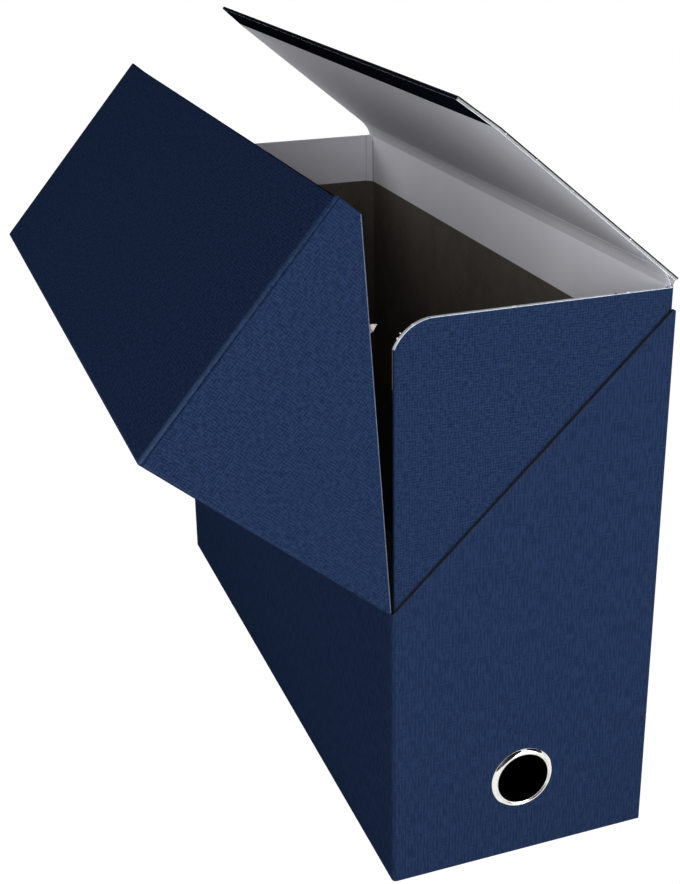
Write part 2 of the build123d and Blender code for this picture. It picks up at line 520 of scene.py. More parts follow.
@dataclass(frozen=True)
class CutBoard(Finish):
    """The fibrous edge that a blade leaves on the board."""

    name: str = "cut_board_edge"
    pale: Colour = (0.890, 0.900, 0.920, 1.0)
    dark: Colour = (0.520, 0.520, 0.530, 1.0)
    fibre_scale: float = 1400.0
    patch_scale: float = 170.0

    def mix(self, bench: Bench) -> None:
        """Lays out torn fibres and small shadows between them.

        Args:
            bench: The material's empty bench.
        """
        place = bench.place()
        fibres = bench.grain(place, self.fibre_scale, 3.0, 0.7)
        patches = bench.grain(place, self.patch_scale, 2.0, 0.6)
        share = fibres.between(0.30, 0.62) * 0.6 + patches.between(0.25, 0.6) * 0.4
        edge = bench.blend(share, self.dark, self.pale)
        relief = bench.relief(0.6, 0.00015, fibres)
        self.lay_on(bench, edge, 0.80 + patches * 0.15, relief, 0.20)


@dataclass(frozen=True)
class WhitePaper(Finish):
    """The white paper that lines the lid and the top of the inner walls."""

    name: str = "white_lining_paper"
    pale: Colour = (0.885, 0.878, 0.930, 1.0)
    shade: Colour = (0.835, 0.828, 0.880, 1.0)
    # Painted shade for the dark lines of pressed creases
    crease_shade_colour: Colour = (0.150, 0.148, 0.158, 1.0)
    cloud_scale: float = 24.0
    grain_scale: float = 1500.0

    def mix(self, bench: Bench) -> None:
        """Lays out paper grain, faint clouds, and painted shade along creases.

        Args:
            bench: The material's empty bench.
        """
        place = bench.place()
        clouds = bench.grain(place, self.cloud_scale, 3.0, 0.6)
        grain = bench.grain(place, self.grain_scale, 2.0, 0.6)
        tone = clouds.between(0.3, 0.7) * 0.7 + grain * 0.3
        paper = bench.blend(tone, self.shade, self.pale)
        # Painted shade along pressed creases
        paper = bench.blend(bench.mark("crease_shade"), paper, self.crease_shade_colour)
        relief = bench.relief(0.15, 0.00005, grain)
        self.lay_on(bench, paper, 0.60 + clouds * 0.10, relief, 0.25)


@dataclass(frozen=True)
class PlatedSteel(Finish):
    """Bright plating with faint marks from handling."""

    name: str = "bright_plated_steel"
    bright: Colour = (0.830, 0.825, 0.790, 1.0)
    dull: Colour = (0.560, 0.555, 0.530, 1.0)
    smudge_scale: float = 260.0
    scratch_scale: Point = (300.0, 300.0, 2400.0)

    def mix(self, bench: Bench) -> None:
        """Lays out smudges in tone and gloss.

        Args:
            bench: The material's empty bench.
        """
        place = bench.place()
        smudges = bench.grain(place, self.smudge_scale, 3.0, 0.6)
        scratches = bench.grain(bench.stretched(place, self.scratch_scale), 1.0, 2.0, 0.6)
        marks = smudges.between(0.45, 0.75)
        metal = bench.blend(marks * 0.5, self.bright, self.dull)
        relief = bench.relief(0.05, 0.00003, scratches)
        self.lay_on(bench, metal, 0.07 + marks * 0.10, relief, 0.5, 1.0)


NAVY = LinenPaper()
NAVY_CROSSED = LinenPaper(
    name="navy_linen_paper_crossed",
    thread=(0.0176, 0.0330, 0.0800, 1.0),
    hollow=(0.0070, 0.0144, 0.0374, 1.0),
    upright_share=0.50,
    threads_to_metre=880.0,
    thread_length=0.0026,
    patch_scale=250.0,
    patch_swing=0.16,
    slub_scale=2300.0,
    slub_share=0.46,
)
# A near-black copy of the navy paper: painted shade on the lid's turn-in and fold, the drop front's
# free edge, the crease skin's cut edges and the nick on the wing
NAVY_PAINTED_SHADE = LinenPaper(
    name="navy_paper_painted_shade",
    thread=(0.0075, 0.0080, 0.0150, 1.0),
    hollow=(0.0040, 0.0045, 0.0090, 1.0),
    cloud=(0.0060, 0.0065, 0.0120, 1.0),
)
BOARD = RawBoard()
CUT = CutBoard()
LID_CUT = CutBoard(
    name="lid_cut_board_edge",
    pale=(0.330, 0.330, 0.335, 1.0),
    dark=(0.180, 0.180, 0.185, 1.0),
)
DIM_CUT = CutBoard(
    name="dim_cut_board_edge",
    pale=(0.0200, 0.0205, 0.0240, 1.0),
    dark=(0.0080, 0.0085, 0.0110, 1.0),
)
TORN = CutBoard(
    name="torn_paper_edge",
    pale=(0.120, 0.110, 0.110, 1.0),
    dark=(0.035, 0.035, 0.040, 1.0),
)
FLAKE = CutBoard(
    name="torn_board_flake",
    pale=(0.520, 0.450, 0.420, 1.0),
    dark=(0.100, 0.070, 0.060, 1.0),
)
SCUFFED = CutBoard(
    name="scuffed_paper_edge",
    pale=(0.130, 0.150, 0.210, 1.0),
    dark=(0.040, 0.055, 0.095, 1.0),
)
FRAYED = CutBoard(
    name="frayed_paper_edge",
    pale=(0.640, 0.680, 0.760, 1.0),
    dark=(0.240, 0.280, 0.380, 1.0),
)
WHITE = WhitePaper()
PLATED = PlatedSteel()


# Sheet work


def looks(face: bmesh.types.BMFace, way: Vector, least: float = SQUARE_ON) -> bool:
    """Whether a face points a given way, at least as nearly as the cosine says."""
    return face.normal.dot(way) > least


def rounded(
    work: bmesh.types.BMesh, geom: Sequence[object], size: float, steps: int, corners: bool = False
) -> set[bmesh.types.BMFace]:
    """Rounds edges, or the corners of a flat outline.

    Args:
        work: The bmesh.
        geom: The edges or the corners.
        size: Distance from the edge or corner at which the rounding starts.
        steps: Number of flats.
        corners: Whether corners are rounded.

    Returns:
        The faces of the rounding.
    """
    made = bmesh.ops.bevel(
        work,
        geom=geom,
        offset=size,
        offset_type="OFFSET",
        segments=steps,
        profile=0.5,
        affect="VERTICES" if corners else "EDGES",
        material=-1,
        clamp_overlap=not corners,
    )
    return set(made["faces"])


@dataclass(frozen=True)
class Panel:
    """How one panel lies on the flat sheet, for the pattern that follows the paper.

    Attributes:
        facing: Direction of the panel's outer face.
        across: Direction of the sheet's first coordinate on the panel.
        along: Direction of its second coordinate.
        start: The point of the panel that has the coordinates in offset.
        offset: Those coordinates.
    """

    facing: Vector
    across: Vector
    along: Vector
    start: Vector
    offset: tuple[float, float] = (0.0, 0.0)

    def place(self, point: Vector) -> tuple[float, float]:
        """Where a point lies on the flat sheet.

        Args:
            point: A point of the folded sheet.

        Returns:
            Its two coordinates, in metres.
        """
        way = point - self.start
        return (way.dot(self.across) + self.offset[0], way.dot(self.along) + self.offset[1])


class Sheet:
    """A sheet that is folded, trimmed, punched and thickened, as at the maker's bench."""

    def __init__(self) -> None:
        """Starts with nothing on the bench."""
        self.mesh = bmesh.new()
        # Strength of rubbing and painted highlight on folds
        self.rub_and_highlight_layer = self.mesh.verts.layers.float.new("fold")
        # Strength of painted shade along pressed creases
        self.crease_shade_layer = self.mesh.verts.layers.float.new("crease_shade")

    @classmethod
    def of_block(cls, low: Point, high: Point, missing: Sequence[Vector]) -> "Sheet":
        """A sheet that forms the walls of a block.

        Args:
            low: The block's lowest corner.
            high: The block's highest corner.
            missing: Directions of the walls that are left out.

        Returns:
            The sheet.
        """
        sheet = cls()
        start, end = Vector(low), Vector(high)
        bmesh.ops.create_cube(sheet.mesh, size=1.0)
        bmesh.ops.scale(sheet.mesh, vec=end - start, verts=sheet.mesh.verts[:])
        bmesh.ops.translate(sheet.mesh, vec=(start + end) / 2, verts=sheet.mesh.verts[:])
        sheet.remove(lambda face: any(looks(face, way) for way in missing))
        return sheet

    @classmethod
    def of_line(cls, line: Sequence[tuple[float, float]], half_length: float) -> "Sheet":
        """A strip that follows a line, seen from the spine, from end to end of the box.

        Args:
            line: X and Z of the line's points; the strip's outer face lies to the right of its way.
            half_length: Half the strip's length.

        Returns:
            The sheet.
        """
        sheet = cls()
        row = [sheet.mesh.verts.new((x, -half_length, z)) for x, z in line]
        for first, second in zip(row, row[1:]):
            sheet.mesh.edges.new((first, second))
        made = bmesh.ops.extrude_edge_only(sheet.mesh, edges=sheet.mesh.edges[:])
        far = [item for item in made["geom"] if isinstance(item, bmesh.types.BMVert)]
        bmesh.ops.translate(sheet.mesh, vec=(0.0, 2 * half_length, 0.0), verts=far)
        sheet.mesh.normal_update()
        sheet.mesh.faces.ensure_lookup_table()
        way = Vector((line[1][0] - line[0][0], 0.0, line[1][1] - line[0][1]))
        if sheet.mesh.faces[0].normal.dot(TAIL.cross(way)) < 0.0:
            bmesh.ops.reverse_faces(sheet.mesh, faces=sheet.mesh.faces[:])
        return sheet

    def fold(
        self,
        pairs: Sequence[tuple[Vector, Vector]],
        radius: float,
        steps: int = 8,
        rub_and_highlight: Sequence[tuple[Vector, float]] = (),
    ) -> None:
        """Rounds the edges where pairs of walls meet.

        Args:
            pairs: For each fold, the directions of its two walls.
            radius: The fold's radius.
            steps: Number of flats over a quarter turn.
            rub_and_highlight: How much rubbing, with a painted highlight, a fold that faces a given
                direction gets.
        """
        self.mesh.normal_update()
        edges = []
        for edge in self.mesh.edges:
            if len(edge.link_faces) != 2:
                continue
            walls = list(edge.link_faces)
            for one, other in (*pairs, *(pair[::-1] for pair in pairs)):
                if looks(walls[0], one) and looks(walls[1], other):
                    edges.append(edge)
                    break
        bend = rounded(self.mesh, edges, radius, steps)
        # Marks the rounding of folds that face the given ways, for rubbing and a painted highlight
        for vert in {vert for face in bend for vert in face.verts}:
            inside = all(face in bend for face in vert.link_faces) and not vert.is_boundary
            turned = vert.normal
            shares = [share for way, share in rub_and_highlight if turned.dot(way.normalized()) > ON_THE_BEND]
            if inside and shares:
                vert[self.rub_and_highlight_layer] = max(shares)

    def _cut(self, point: Sequence[float], way: Sequence[float], clear: bool) -> None:
        """Cuts along a plane.

        Args:
            point: A point of the plane.
            way: The plane's direction.
            clear: Whether all that lies on the side of that direction goes.
        """
        bmesh.ops.bisect_plane(
            self.mesh,
            geom=[*self.mesh.verts, *self.mesh.edges, *self.mesh.faces],
            dist=WELD,
            plane_co=Vector(point),
            plane_no=Vector(way).normalized(),
            clear_outer=clear,
            clear_inner=False,
        )

    def trim(self, point: Sequence[float], outwards: Sequence[float]) -> None:
        """Cuts off all that lies beyond a plane through a point, on its outward side."""
        self._cut(point, outwards, True)

    def score(self, point: Sequence[float], across: Sequence[float]) -> None:
        """Adds an edge loop where a plane through a point passes."""
        self._cut(point, across, False)

    def support(self, sides: Sequence[float], half_length: float = 0.0) -> None:
        """Adds edge loops beside the upright folds, which keep the walls even in the light.

        Args:
            sides: X of the side walls that are folded.
            half_length: Distance of the folded end walls from the middle, or 0 without them.
        """
        for side in sides:
            self.score((side - math.copysign(FOLD_REACH, side), 0.0, 0.0), RIGHT)
        for end in BOTH_ENDS if half_length else ():
            self.score((0.0, end * (half_length - FOLD_REACH), 0.0), TAIL)

    def press(
        self, point: Sequence[float], across: Sequence[float], facing: Vector, depth: float
    ) -> None:
        """Paints a narrow line of shade, where a crease is pressed, on the walls that face a given way.

        Args:
            point: A point of the plane in which the line lies.
            across: The plane's direction.
            facing: Direction of the walls that are pressed.
            depth: How dark the painted shade is.
        """
        way = Vector(across).normalized()
        middle = Vector(point)
        for shift in (-PRESSED_WIDTH, 0.0, PRESSED_WIDTH):
            self.score(middle + way * shift, way)
        self.mesh.normal_update()
        for vert in self.mesh.verts:
            on_the_line = abs((vert.co - middle).dot(way)) < LEVEL
            if on_the_line and vert.normal.dot(facing) > ON_THE_WALL:
                vert[self.crease_shade_layer] = depth

    def paint(self, finish: int, chosen: Callable[[bmesh.types.BMFace], bool]) -> None:
        """Gives chosen faces a finish of their own.

        Args:
            finish: Place of the finish in the piece's list.
            chosen: Says whether a face gets it.
        """
        for face in self.mesh.faces:
            if chosen(face):
                face.material_index = finish

    def border(self, width: float, finish: int, chosen: Callable[[Vector], bool]) -> None:
        """Gives a narrow strip along cut edges a finish of its own.

        Args:
            width: The strip's width.
            finish: Place of its finish in the piece's list.
            chosen: Says whether a point lies at such an edge.
        """
        made = bmesh.ops.inset_region(
            self.mesh,
            faces=self.mesh.faces[:],
            use_boundary=True,
            use_even_offset=True,
            thickness=width,
            depth=0.0,
        )
        for face in made["faces"]:
            if chosen(face.calc_center_median()):
                face.material_index = finish

    def hem(self, chosen: Callable[[bmesh.types.BMEdge], bool], way: Vector, radius: float) -> None:
        """Bends the sheet over at chosen cut edges.

        Args:
            chosen: Says whether a cut edge gets a hem.
            way: The hem's direction and depth.
            radius: Radius of its fold.
        """
        edges = [edge for edge in self.mesh.edges if edge.is_boundary and chosen(edge)]
        made = bmesh.ops.extrude_edge_only(self.mesh, edges=edges)
        moved = [item for item in made["geom"] if isinstance(item, bmesh.types.BMVert)]
        bmesh.ops.translate(self.mesh, vec=way, verts=moved)
        rounded(self.mesh, edges, radius, 3)
        bmesh.ops.recalc_face_normals(self.mesh, faces=self.mesh.faces[:])

    def remove(self, goes: Callable[[bmesh.types.BMFace], bool]) -> None:
        """Takes faces away.

        Args:
            goes: Says whether a face goes.
        """
        self.mesh.normal_update()
        gone = [face for face in self.mesh.faces if goes(face)]
        bmesh.ops.delete(self.mesh, geom=gone, context="FACES")

    def round_corner(
        self, centre: tuple[float, float], radius: float, start: float, stop: float, steps: int = 12
    ) -> None:
        """Rounds an outline's corner, seen from the spine, with short straight cuts.

        Args:
            centre: X and Z of the arc's centre.
            radius: The arc's radius.
            start: Angle of the first cut, in degrees from X towards Z.
            stop: Angle of the last cut.
            steps: Number of cuts.
        """
        for number in range(steps):
            angle = math.radians(start + (stop - start) * (number + 0.5) / steps)
            way = Vector((math.cos(angle), 0.0, math.sin(angle)))
            point = Vector((centre[0], 0.0, centre[1])) + way * radius
            self.trim(point, way)

    def punch(self, centre: Point, radius: float, facing: Vector, steps: int = 48) -> None:
        """Punches a round hole in the panel with a given facing, which lies across Y.

        Args:
            centre: The hole's centre.
            radius: The hole's radius.
            facing: Direction of the panel's outer face.
            steps: Number of flats round the hole, a multiple of 4.
        """
        middle = Vector(centre)
        reach = radius * SQUARE_PER_HOLE
        for axis in (RIGHT, UP):
            for side in (-reach, reach):
                self.score(middle + axis * side, axis)
        self.mesh.normal_update()

        def under_punch(face: bmesh.types.BMFace) -> bool:
            """Whether a face lies under the square punch."""
            off = face.calc_center_median() - middle
            return max(abs(off.x), abs(off.z)) < reach and looks(face, facing)

        under = [face for face in self.mesh.faces if under_punch(face)]
        rim = {edge for face in under for edge in face.edges}
        depths = [vert.co.y for face in under for vert in face.verts]
        level = sum(depths) / len(depths)
        bmesh.ops.delete(self.mesh, geom=under, context="FACES")
        rim = [edge for edge in rim if edge.is_valid]
        split = bmesh.ops.subdivide_edges(self.mesh, edges=rim, cuts=steps // len(rim) - 1)
        square = [item for item in split["geom_split"] if isinstance(item, bmesh.types.BMEdge)]
        turn = Matrix.Rotation(math.radians(90.0), 4, "X") @ Matrix.Rotation(math.radians(45.0), 4, "Z")
        place = Matrix.Translation((middle.x, level, middle.z)) @ turn
        round_hole = bmesh.ops.create_circle(self.mesh, segments=steps, radius=radius, matrix=place)
        circle = {edge for vert in round_hole["verts"] for edge in vert.link_edges}
        made = bmesh.ops.bridge_loops(self.mesh, edges=[*square, *circle])
        self.mesh.normal_update()
        turned = [face for face in made["faces"] if face.normal.dot(facing) < 0.0]
        bmesh.ops.reverse_faces(self.mesh, faces=turned)

    def unfold(self, panels: Sequence[Panel]) -> None:
        """Gives every face its place on the flat sheet.

        Args:
            panels: The sheet's panels.
        """
        self.mesh.normal_update()
        layer = self.mesh.loops.layers.uv.get("sheet") or self.mesh.loops.layers.uv.new("sheet")
        for face in self.mesh.faces:
            panel = max(panels, key=lambda known: self._match(face, known))
            for loop in face.loops:
                loop[layer].uv = panel.place(loop.vert.co)

    @staticmethod
    def _match(face: bmesh.types.BMFace, panel: Panel) -> float:
        """How well a panel fits a face, where either side will do but the outer one is preferred."""
        turned = face.normal.dot(panel.facing)
        return abs(turned) + 0.01 * turned

    def thicken(self, thickness: float) -> None:
        """Gives the sheet its thickness inwards, and its cut edges a finish of their own.

        Args:
            thickness: The sheet's thickness.
        """
        self.mesh.normal_update()
        outer = set(self.mesh.verts)
        bmesh.ops.solidify(self.mesh, geom=self.mesh.faces[:], thickness=thickness)
        for face in self.mesh.faces:
            shared = sum(vert in outer for vert in face.verts)
            if 0 < shared < len(face.verts):
                face.material_index = CUT_EDGE

    def turn(self, pivot: Point, degrees: float) -> None:
        """Turns the sheet about an axis along Y.

        Args:
            pivot: A point of the axis.
            degrees: Angle from Z towards X.
        """
        matrix = Matrix.Rotation(math.radians(degrees), 3, "Y")
        bmesh.ops.rotate(self.mesh, cent=Vector(pivot), matrix=matrix, verts=self.mesh.verts[:])

    def piece(
        self,
        name: str,
        body: Optional[Body],
        slot: Slot,
        finishes: Sequence[Finish],
        stands_for: Sequence[str] = (),
        smooth_to: float = 32.0,
    ) -> bpy.types.Object:
        """Ends the work and hands the piece over.

        Args:
            name: The piece's name.
            body: The part of the box that it moves with, or nothing where it bends between two.
            slot: The slot that its main finish belongs to; not used.
            finishes: Its finishes, the faces' first and the cut edges' second.
            stands_for: The solids that it replaces.
            smooth_to: Largest angle, in degrees, that is shaded smooth.

        Returns:
            The piece.
        """
        return hand_over(self.mesh, name, body, finishes, stands_for, smooth_to)


def hand_over(
    work: bmesh.types.BMesh,
    name: str,
    body: Optional[Body],
    finishes: Sequence[Finish],
    stands_for: Sequence[str] = (),
    smooth_to: float = 32.0,
) -> bpy.types.Object:
    """Turns a bmesh into a piece of the box.

    Args:
        work: The bmesh, which is freed.
        name: The piece's name.
        body: The part that it moves with, or nothing where it bends between two.
        finishes: Its finishes, in the order of the faces' numbers.
        stands_for: The solids that it replaces.
        smooth_to: Largest angle, in degrees, that is shaded smooth.

    Returns:
        The piece.
    """
    mesh = bpy.data.meshes.new(name)
    work.to_mesh(mesh)
    work.free()
    mesh.shade_smooth()
    mesh.set_sharp_from_angle(angle=math.radians(smooth_to))
    for finish in finishes:
        mesh.materials.append(finish.material())
    made = bpy.data.objects.new(name, mesh)
    bpy.context.scene.collection.objects.link(made)
    if body is not None:
        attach(made, body.value)
    if stands_for:
        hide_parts(*stands_for)
    log.info("%s: %d faces", name, len(mesh.polygons))
    return made


def upright_panels(half_width: float, half_length: float) -> list[Panel]:
    """Places of the four walls and the bottom on one flat sheet.

    Args:
        half_width: Distance of the side walls from the middle.
        half_length: Distance of the end walls from the middle.

    Returns:
        The panels, each continuing its neighbour's threads over the fold.
    """
    near_left = Vector((-half_width, -half_length, 0.0))
    far_left = Vector((-half_width, half_length, 0.0))
    near_right = Vector((half_width, -half_length, 0.0))
    return [
        Panel(SPINE, RIGHT, UP, near_left),
        Panel(LEFT, SPINE, UP, near_left),
        Panel(TAIL, LEFT, UP, far_left, (-2 * half_length, 0.0)),
        Panel(RIGHT, TAIL, UP, near_right, (2 * half_width, 0.0)),
        Panel(DOWN, SPINE, LEFT, near_left),
    ]


@dataclass(frozen=True)
class Layer:
    """One of the two layers of every folded sheet.

    Attributes:
        name: The layer's name.
        depth: Depth of its outer face below the covered face.
        thickness: Its thickness.
        slot: The slot of its finish.
        ending: How the names of its solids end.
    """

    name: str
    depth: float
    thickness: float
    slot: Slot
    ending: str

    def solids(self, panels: Sequence[str]) -> list[str]:
        """Names of the layer's solids in the given panels."""
        return [f"{panel}_{self.ending}" for panel in panels]


PAPER = Layer("paper", 0.0, STOCK.paper, Slot.NAVY_PAPER, "cover")
CORE = Layer("board", STOCK.paper, STOCK.board, Slot.RAW_BOARD, "board")


# The case


@dataclass
class Case:
    """The fixed box: a left wall with outer end panels, a right wall with inner wings, and a bottom."""

    stock: Stock = STOCK
    cut_corner_round: float = 0.0008
    wing_corner_radius: float = 0.018
    wing_corner_drop: float = 0.011
    wing_edge_fold: float = 0.0004
    white_band_depth: float = 0.027
    corner_setback: float = 0.0035
    setback_per_board: float = 0.586
    # How dark the painted shade is on the bends of the corners
    shade_at_wall_corners: float = 1.0
    shade_at_wing_corner: float = 0.4
    bottom_fold: float = 0.0010
    bottom_fold_per_depth: float = 1.6
    bottom_lap: float = 0.00001
    frayed_width: float = 0.00024
    ring_hole: float = 0.0126

    def build(self) -> None:
        """Makes all the case's pieces."""
        for layer in (PAPER, CORE):
            self._left_wrap(layer)
            self._right_wrap(layer)
            self._bottom(layer)
        self._white_lining()

    def _left_wrap(self, layer: Layer) -> None:
        """Makes the left wall with the outer end panels that are folded from it.

        Args:
            layer: The paper or the board.
        """
        stock, depth = self.stock, layer.depth
        low = (-stock.half_width + depth, -stock.half_length + depth, 0.0)
        high = (stock.half_width, stock.half_length - depth, stock.height)
        sheet = Sheet.of_block(low, high, (RIGHT, UP, DOWN))
        sheet.fold([(LEFT, SPINE), (LEFT, TAIL)], stock.fold(depth))
        foot = (-stock.half_width, 0.0, stock.drop_hinge_height - stock.crease_gap / 2)
        sheet.trim(foot, (-stock.diagonal_slope, 0.0, 1.0))
        self._round_cut_corner(sheet)
        turn = self.bottom_fold
        sheet.round_corner((-stock.half_width + turn, turn), turn, 180.0, 270.0, 5)
        sheet.score((0.0, 0.0, stock.foot), UP)

        def in_the_bottom_fold(face: bmesh.types.BMFace) -> bool:
            """Whether a face of the left wall lies where the wall folds to the bottom."""
            return looks(face, LEFT, 0.99) and face.calc_center_median().z < stock.foot

        sheet.remove(in_the_bottom_fold)
        sheet.support([-stock.half_width], stock.half_length)
        sheet.punch((0.0, low[1], stock.ring_height), self.ring_hole, SPINE)
        sheet.unfold(upright_panels(stock.half_width, stock.half_length))
        sheet.thicken(layer.thickness)
        solids = layer.solids(("left_wall", "spine_outer", "tail_outer"))
        finishes = (NAVY, TORN) if layer is PAPER else (BOARD, DIM_CUT)
        sheet.piece(f"left_wrap_{layer.name}", Body.CASE, layer.slot, finishes, solids)

    def _round_cut_corner(self, sheet: Sheet) -> None:
        """Rounds the free upper corner of the outer end panels.

        Args:
            sheet: The left wrap.
        """
        stock = self.stock
        radius = self.cut_corner_round
        lean = math.degrees(math.atan(stock.diagonal_slope))
        reach = radius / math.tan(math.radians((90.0 - lean) / 2))
        centre = (stock.half_width - radius, stock.diagonal_top - reach)
        sheet.round_corner(centre, radius, 90.0 + lean, 0.0, 6)

    def _right_wrap(self, layer: Layer) -> None:
        """Makes the right wall with the inner wings that are folded from it.

        Args:
            layer: The paper or the board.
        """
        stock, depth = self.stock, layer.depth
        low = (stock.wing_left + depth, -stock.wing_half_length + depth, stock.foot)
        high = (stock.half_width - depth, stock.wing_half_length - depth, stock.wing_height)
        corners = [(RIGHT, SPINE), (RIGHT, TAIL)]
        if layer is PAPER:
            sheet = Sheet.of_block(low, high, (UP, DOWN))
            sheet.fold(corners, stock.fold(depth))
            self._wrap_wing_edges(sheet)
        else:
            sheet = Sheet.of_block(low, high, (LEFT, UP, DOWN))
            sheet.fold(corners, self.corner_setback + self.setback_per_board * layer.thickness, 1)
        self._round_wing(sheet)
        sheet.support([stock.half_width], stock.wing_half_length)
        sheet.punch((0.0, low[1], stock.ring_height), self.ring_hole, SPINE)
        if layer is PAPER:
            lowest = stock.wing_height - self.wing_corner_drop
            sheet.border(self.frayed_width, PICKED, lambda point: point.z > lowest)
        else:
            self._shade_pressed_corners(sheet)
        sheet.unfold(upright_panels(stock.half_width, stock.wing_half_length))
        sheet.thicken(layer.thickness)
        solids = layer.solids(("right_wall", "spine_wing", "tail_wing"))
        finishes = (NAVY_CROSSED, CUT, FRAYED) if layer is PAPER else (BOARD, CUT)
        sheet.piece(f"right_wrap_{layer.name}", Body.CASE, layer.slot, finishes, solids)

    def _wrap_wing_edges(self, sheet: Sheet) -> None:
        """Folds the paper round the wings' upright edges, as far as the board is thick.

        Args:
            sheet: The right wrap's paper, which still has a left wall.
        """
        inner = self.stock.wing_half_length - self.stock.wall
        sheet.fold([(LEFT, SPINE), (LEFT, TAIL)], self.wing_edge_fold, 4)
        for end in BOTH_ENDS:
            sheet.score((0.0, end * inner, 0.0), TAIL)
        sheet.remove(lambda face: looks(face, LEFT) and abs(face.calc_center_median().y) < inner)

    def _shade_pressed_corners(self, sheet: Sheet) -> None:
        """Paints shade on the bends of the corners with a crease, on the right wall and on the tail
        wing.

        Args:
            sheet: A sheet that lines the right wall and the wings.
        """
        points = [vert.co.copy() for vert in sheet.mesh.verts]
        tail_most = max(point.y for point in points)
        right_most = max(point.x for point in points)
        bends = [round(point.y, 6) for point in points if point.x > right_most - ROW]
        for bend in (max(bends), min(bends)):
            sheet.press((0.0, bend, 0.0), TAIL, RIGHT, self.shade_at_wall_corners)
        meets = max(point.x for point in points if point.y > tail_most - ROW)
        sheet.press((meets, 0.0, 0.0), RIGHT, TAIL, self.shade_at_wing_corner)

    def _round_wing(self, sheet: Sheet) -> None:
        """Rounds the wings' upper corner at the drop front.

        Args:
            sheet: The sheet that forms the wings.
        """
        stock = self.stock
        radius = self.wing_corner_radius
        fall = radius - self.wing_corner_drop
        centre = (stock.wing_left + math.sqrt(radius**2 - fall**2), stock.wing_height - radius)
        first = 180.0 - math.degrees(math.asin(fall / radius))
        sheet.round_corner(centre, radius, first, 90.0, 18)

    def _bottom(self, layer: Layer) -> None:
        """Makes the bottom with its folds to both side walls.

        Args:
            layer: The paper or the board.
        """
        stock, depth = self.stock, layer.depth
        reach = stock.half_length - stock.wall - stock.inside_fold
        low = (-stock.half_width + depth, -reach, depth)
        high = (stock.half_width - depth, reach, stock.height)
        sheet = Sheet.of_block(low, high, (SPINE, TAIL, UP))
        radius = self.bottom_fold + self.bottom_fold_per_depth * depth
        sheet.fold([(LEFT, DOWN), (RIGHT, DOWN)], radius)
        sheet.trim((0.0, 0.0, stock.foot + self.bottom_lap), UP)
        sheet.support([-stock.half_width, stock.half_width])
        sheet.unfold(upright_panels(stock.half_width, stock.half_length))
        sheet.thicken(layer.thickness)
        finishes = (NAVY, NAVY) if layer is PAPER else (BOARD, BOARD)
        sheet.piece(f"bottom_{layer.name}", Body.CASE, layer.slot, finishes, layer.solids(("bottom",)))

    def _white_lining(self) -> None:
        """Makes the white paper along the top of the right wall and the wings, inside."""
        stock = self.stock
        reach = stock.wing_half_length - stock.wall
        low = (stock.wing_left, -reach, stock.wing_height - self.white_band_depth)
        high = (stock.half_width - stock.wall, reach, stock.wing_height)
        sheet = Sheet.of_block(low, high, (LEFT, UP, DOWN))
        sheet.fold([(RIGHT, SPINE), (RIGHT, TAIL)], self.corner_setback, 1)
        self._round_wing(sheet)
        self._shade_pressed_corners(sheet)
        sheet.unfold(upright_panels(stock.half_width, stock.wing_half_length))
        sheet.thicken(stock.paper)
        solids = ("spine_white_band", "tail_white_band", "right_wall_white_band")
        sheet.piece("white_lining", Body.CASE, Slot.WHITE_PAPER, (WHITE, WHITE), solids, smooth_to=20.0)


# The drop front


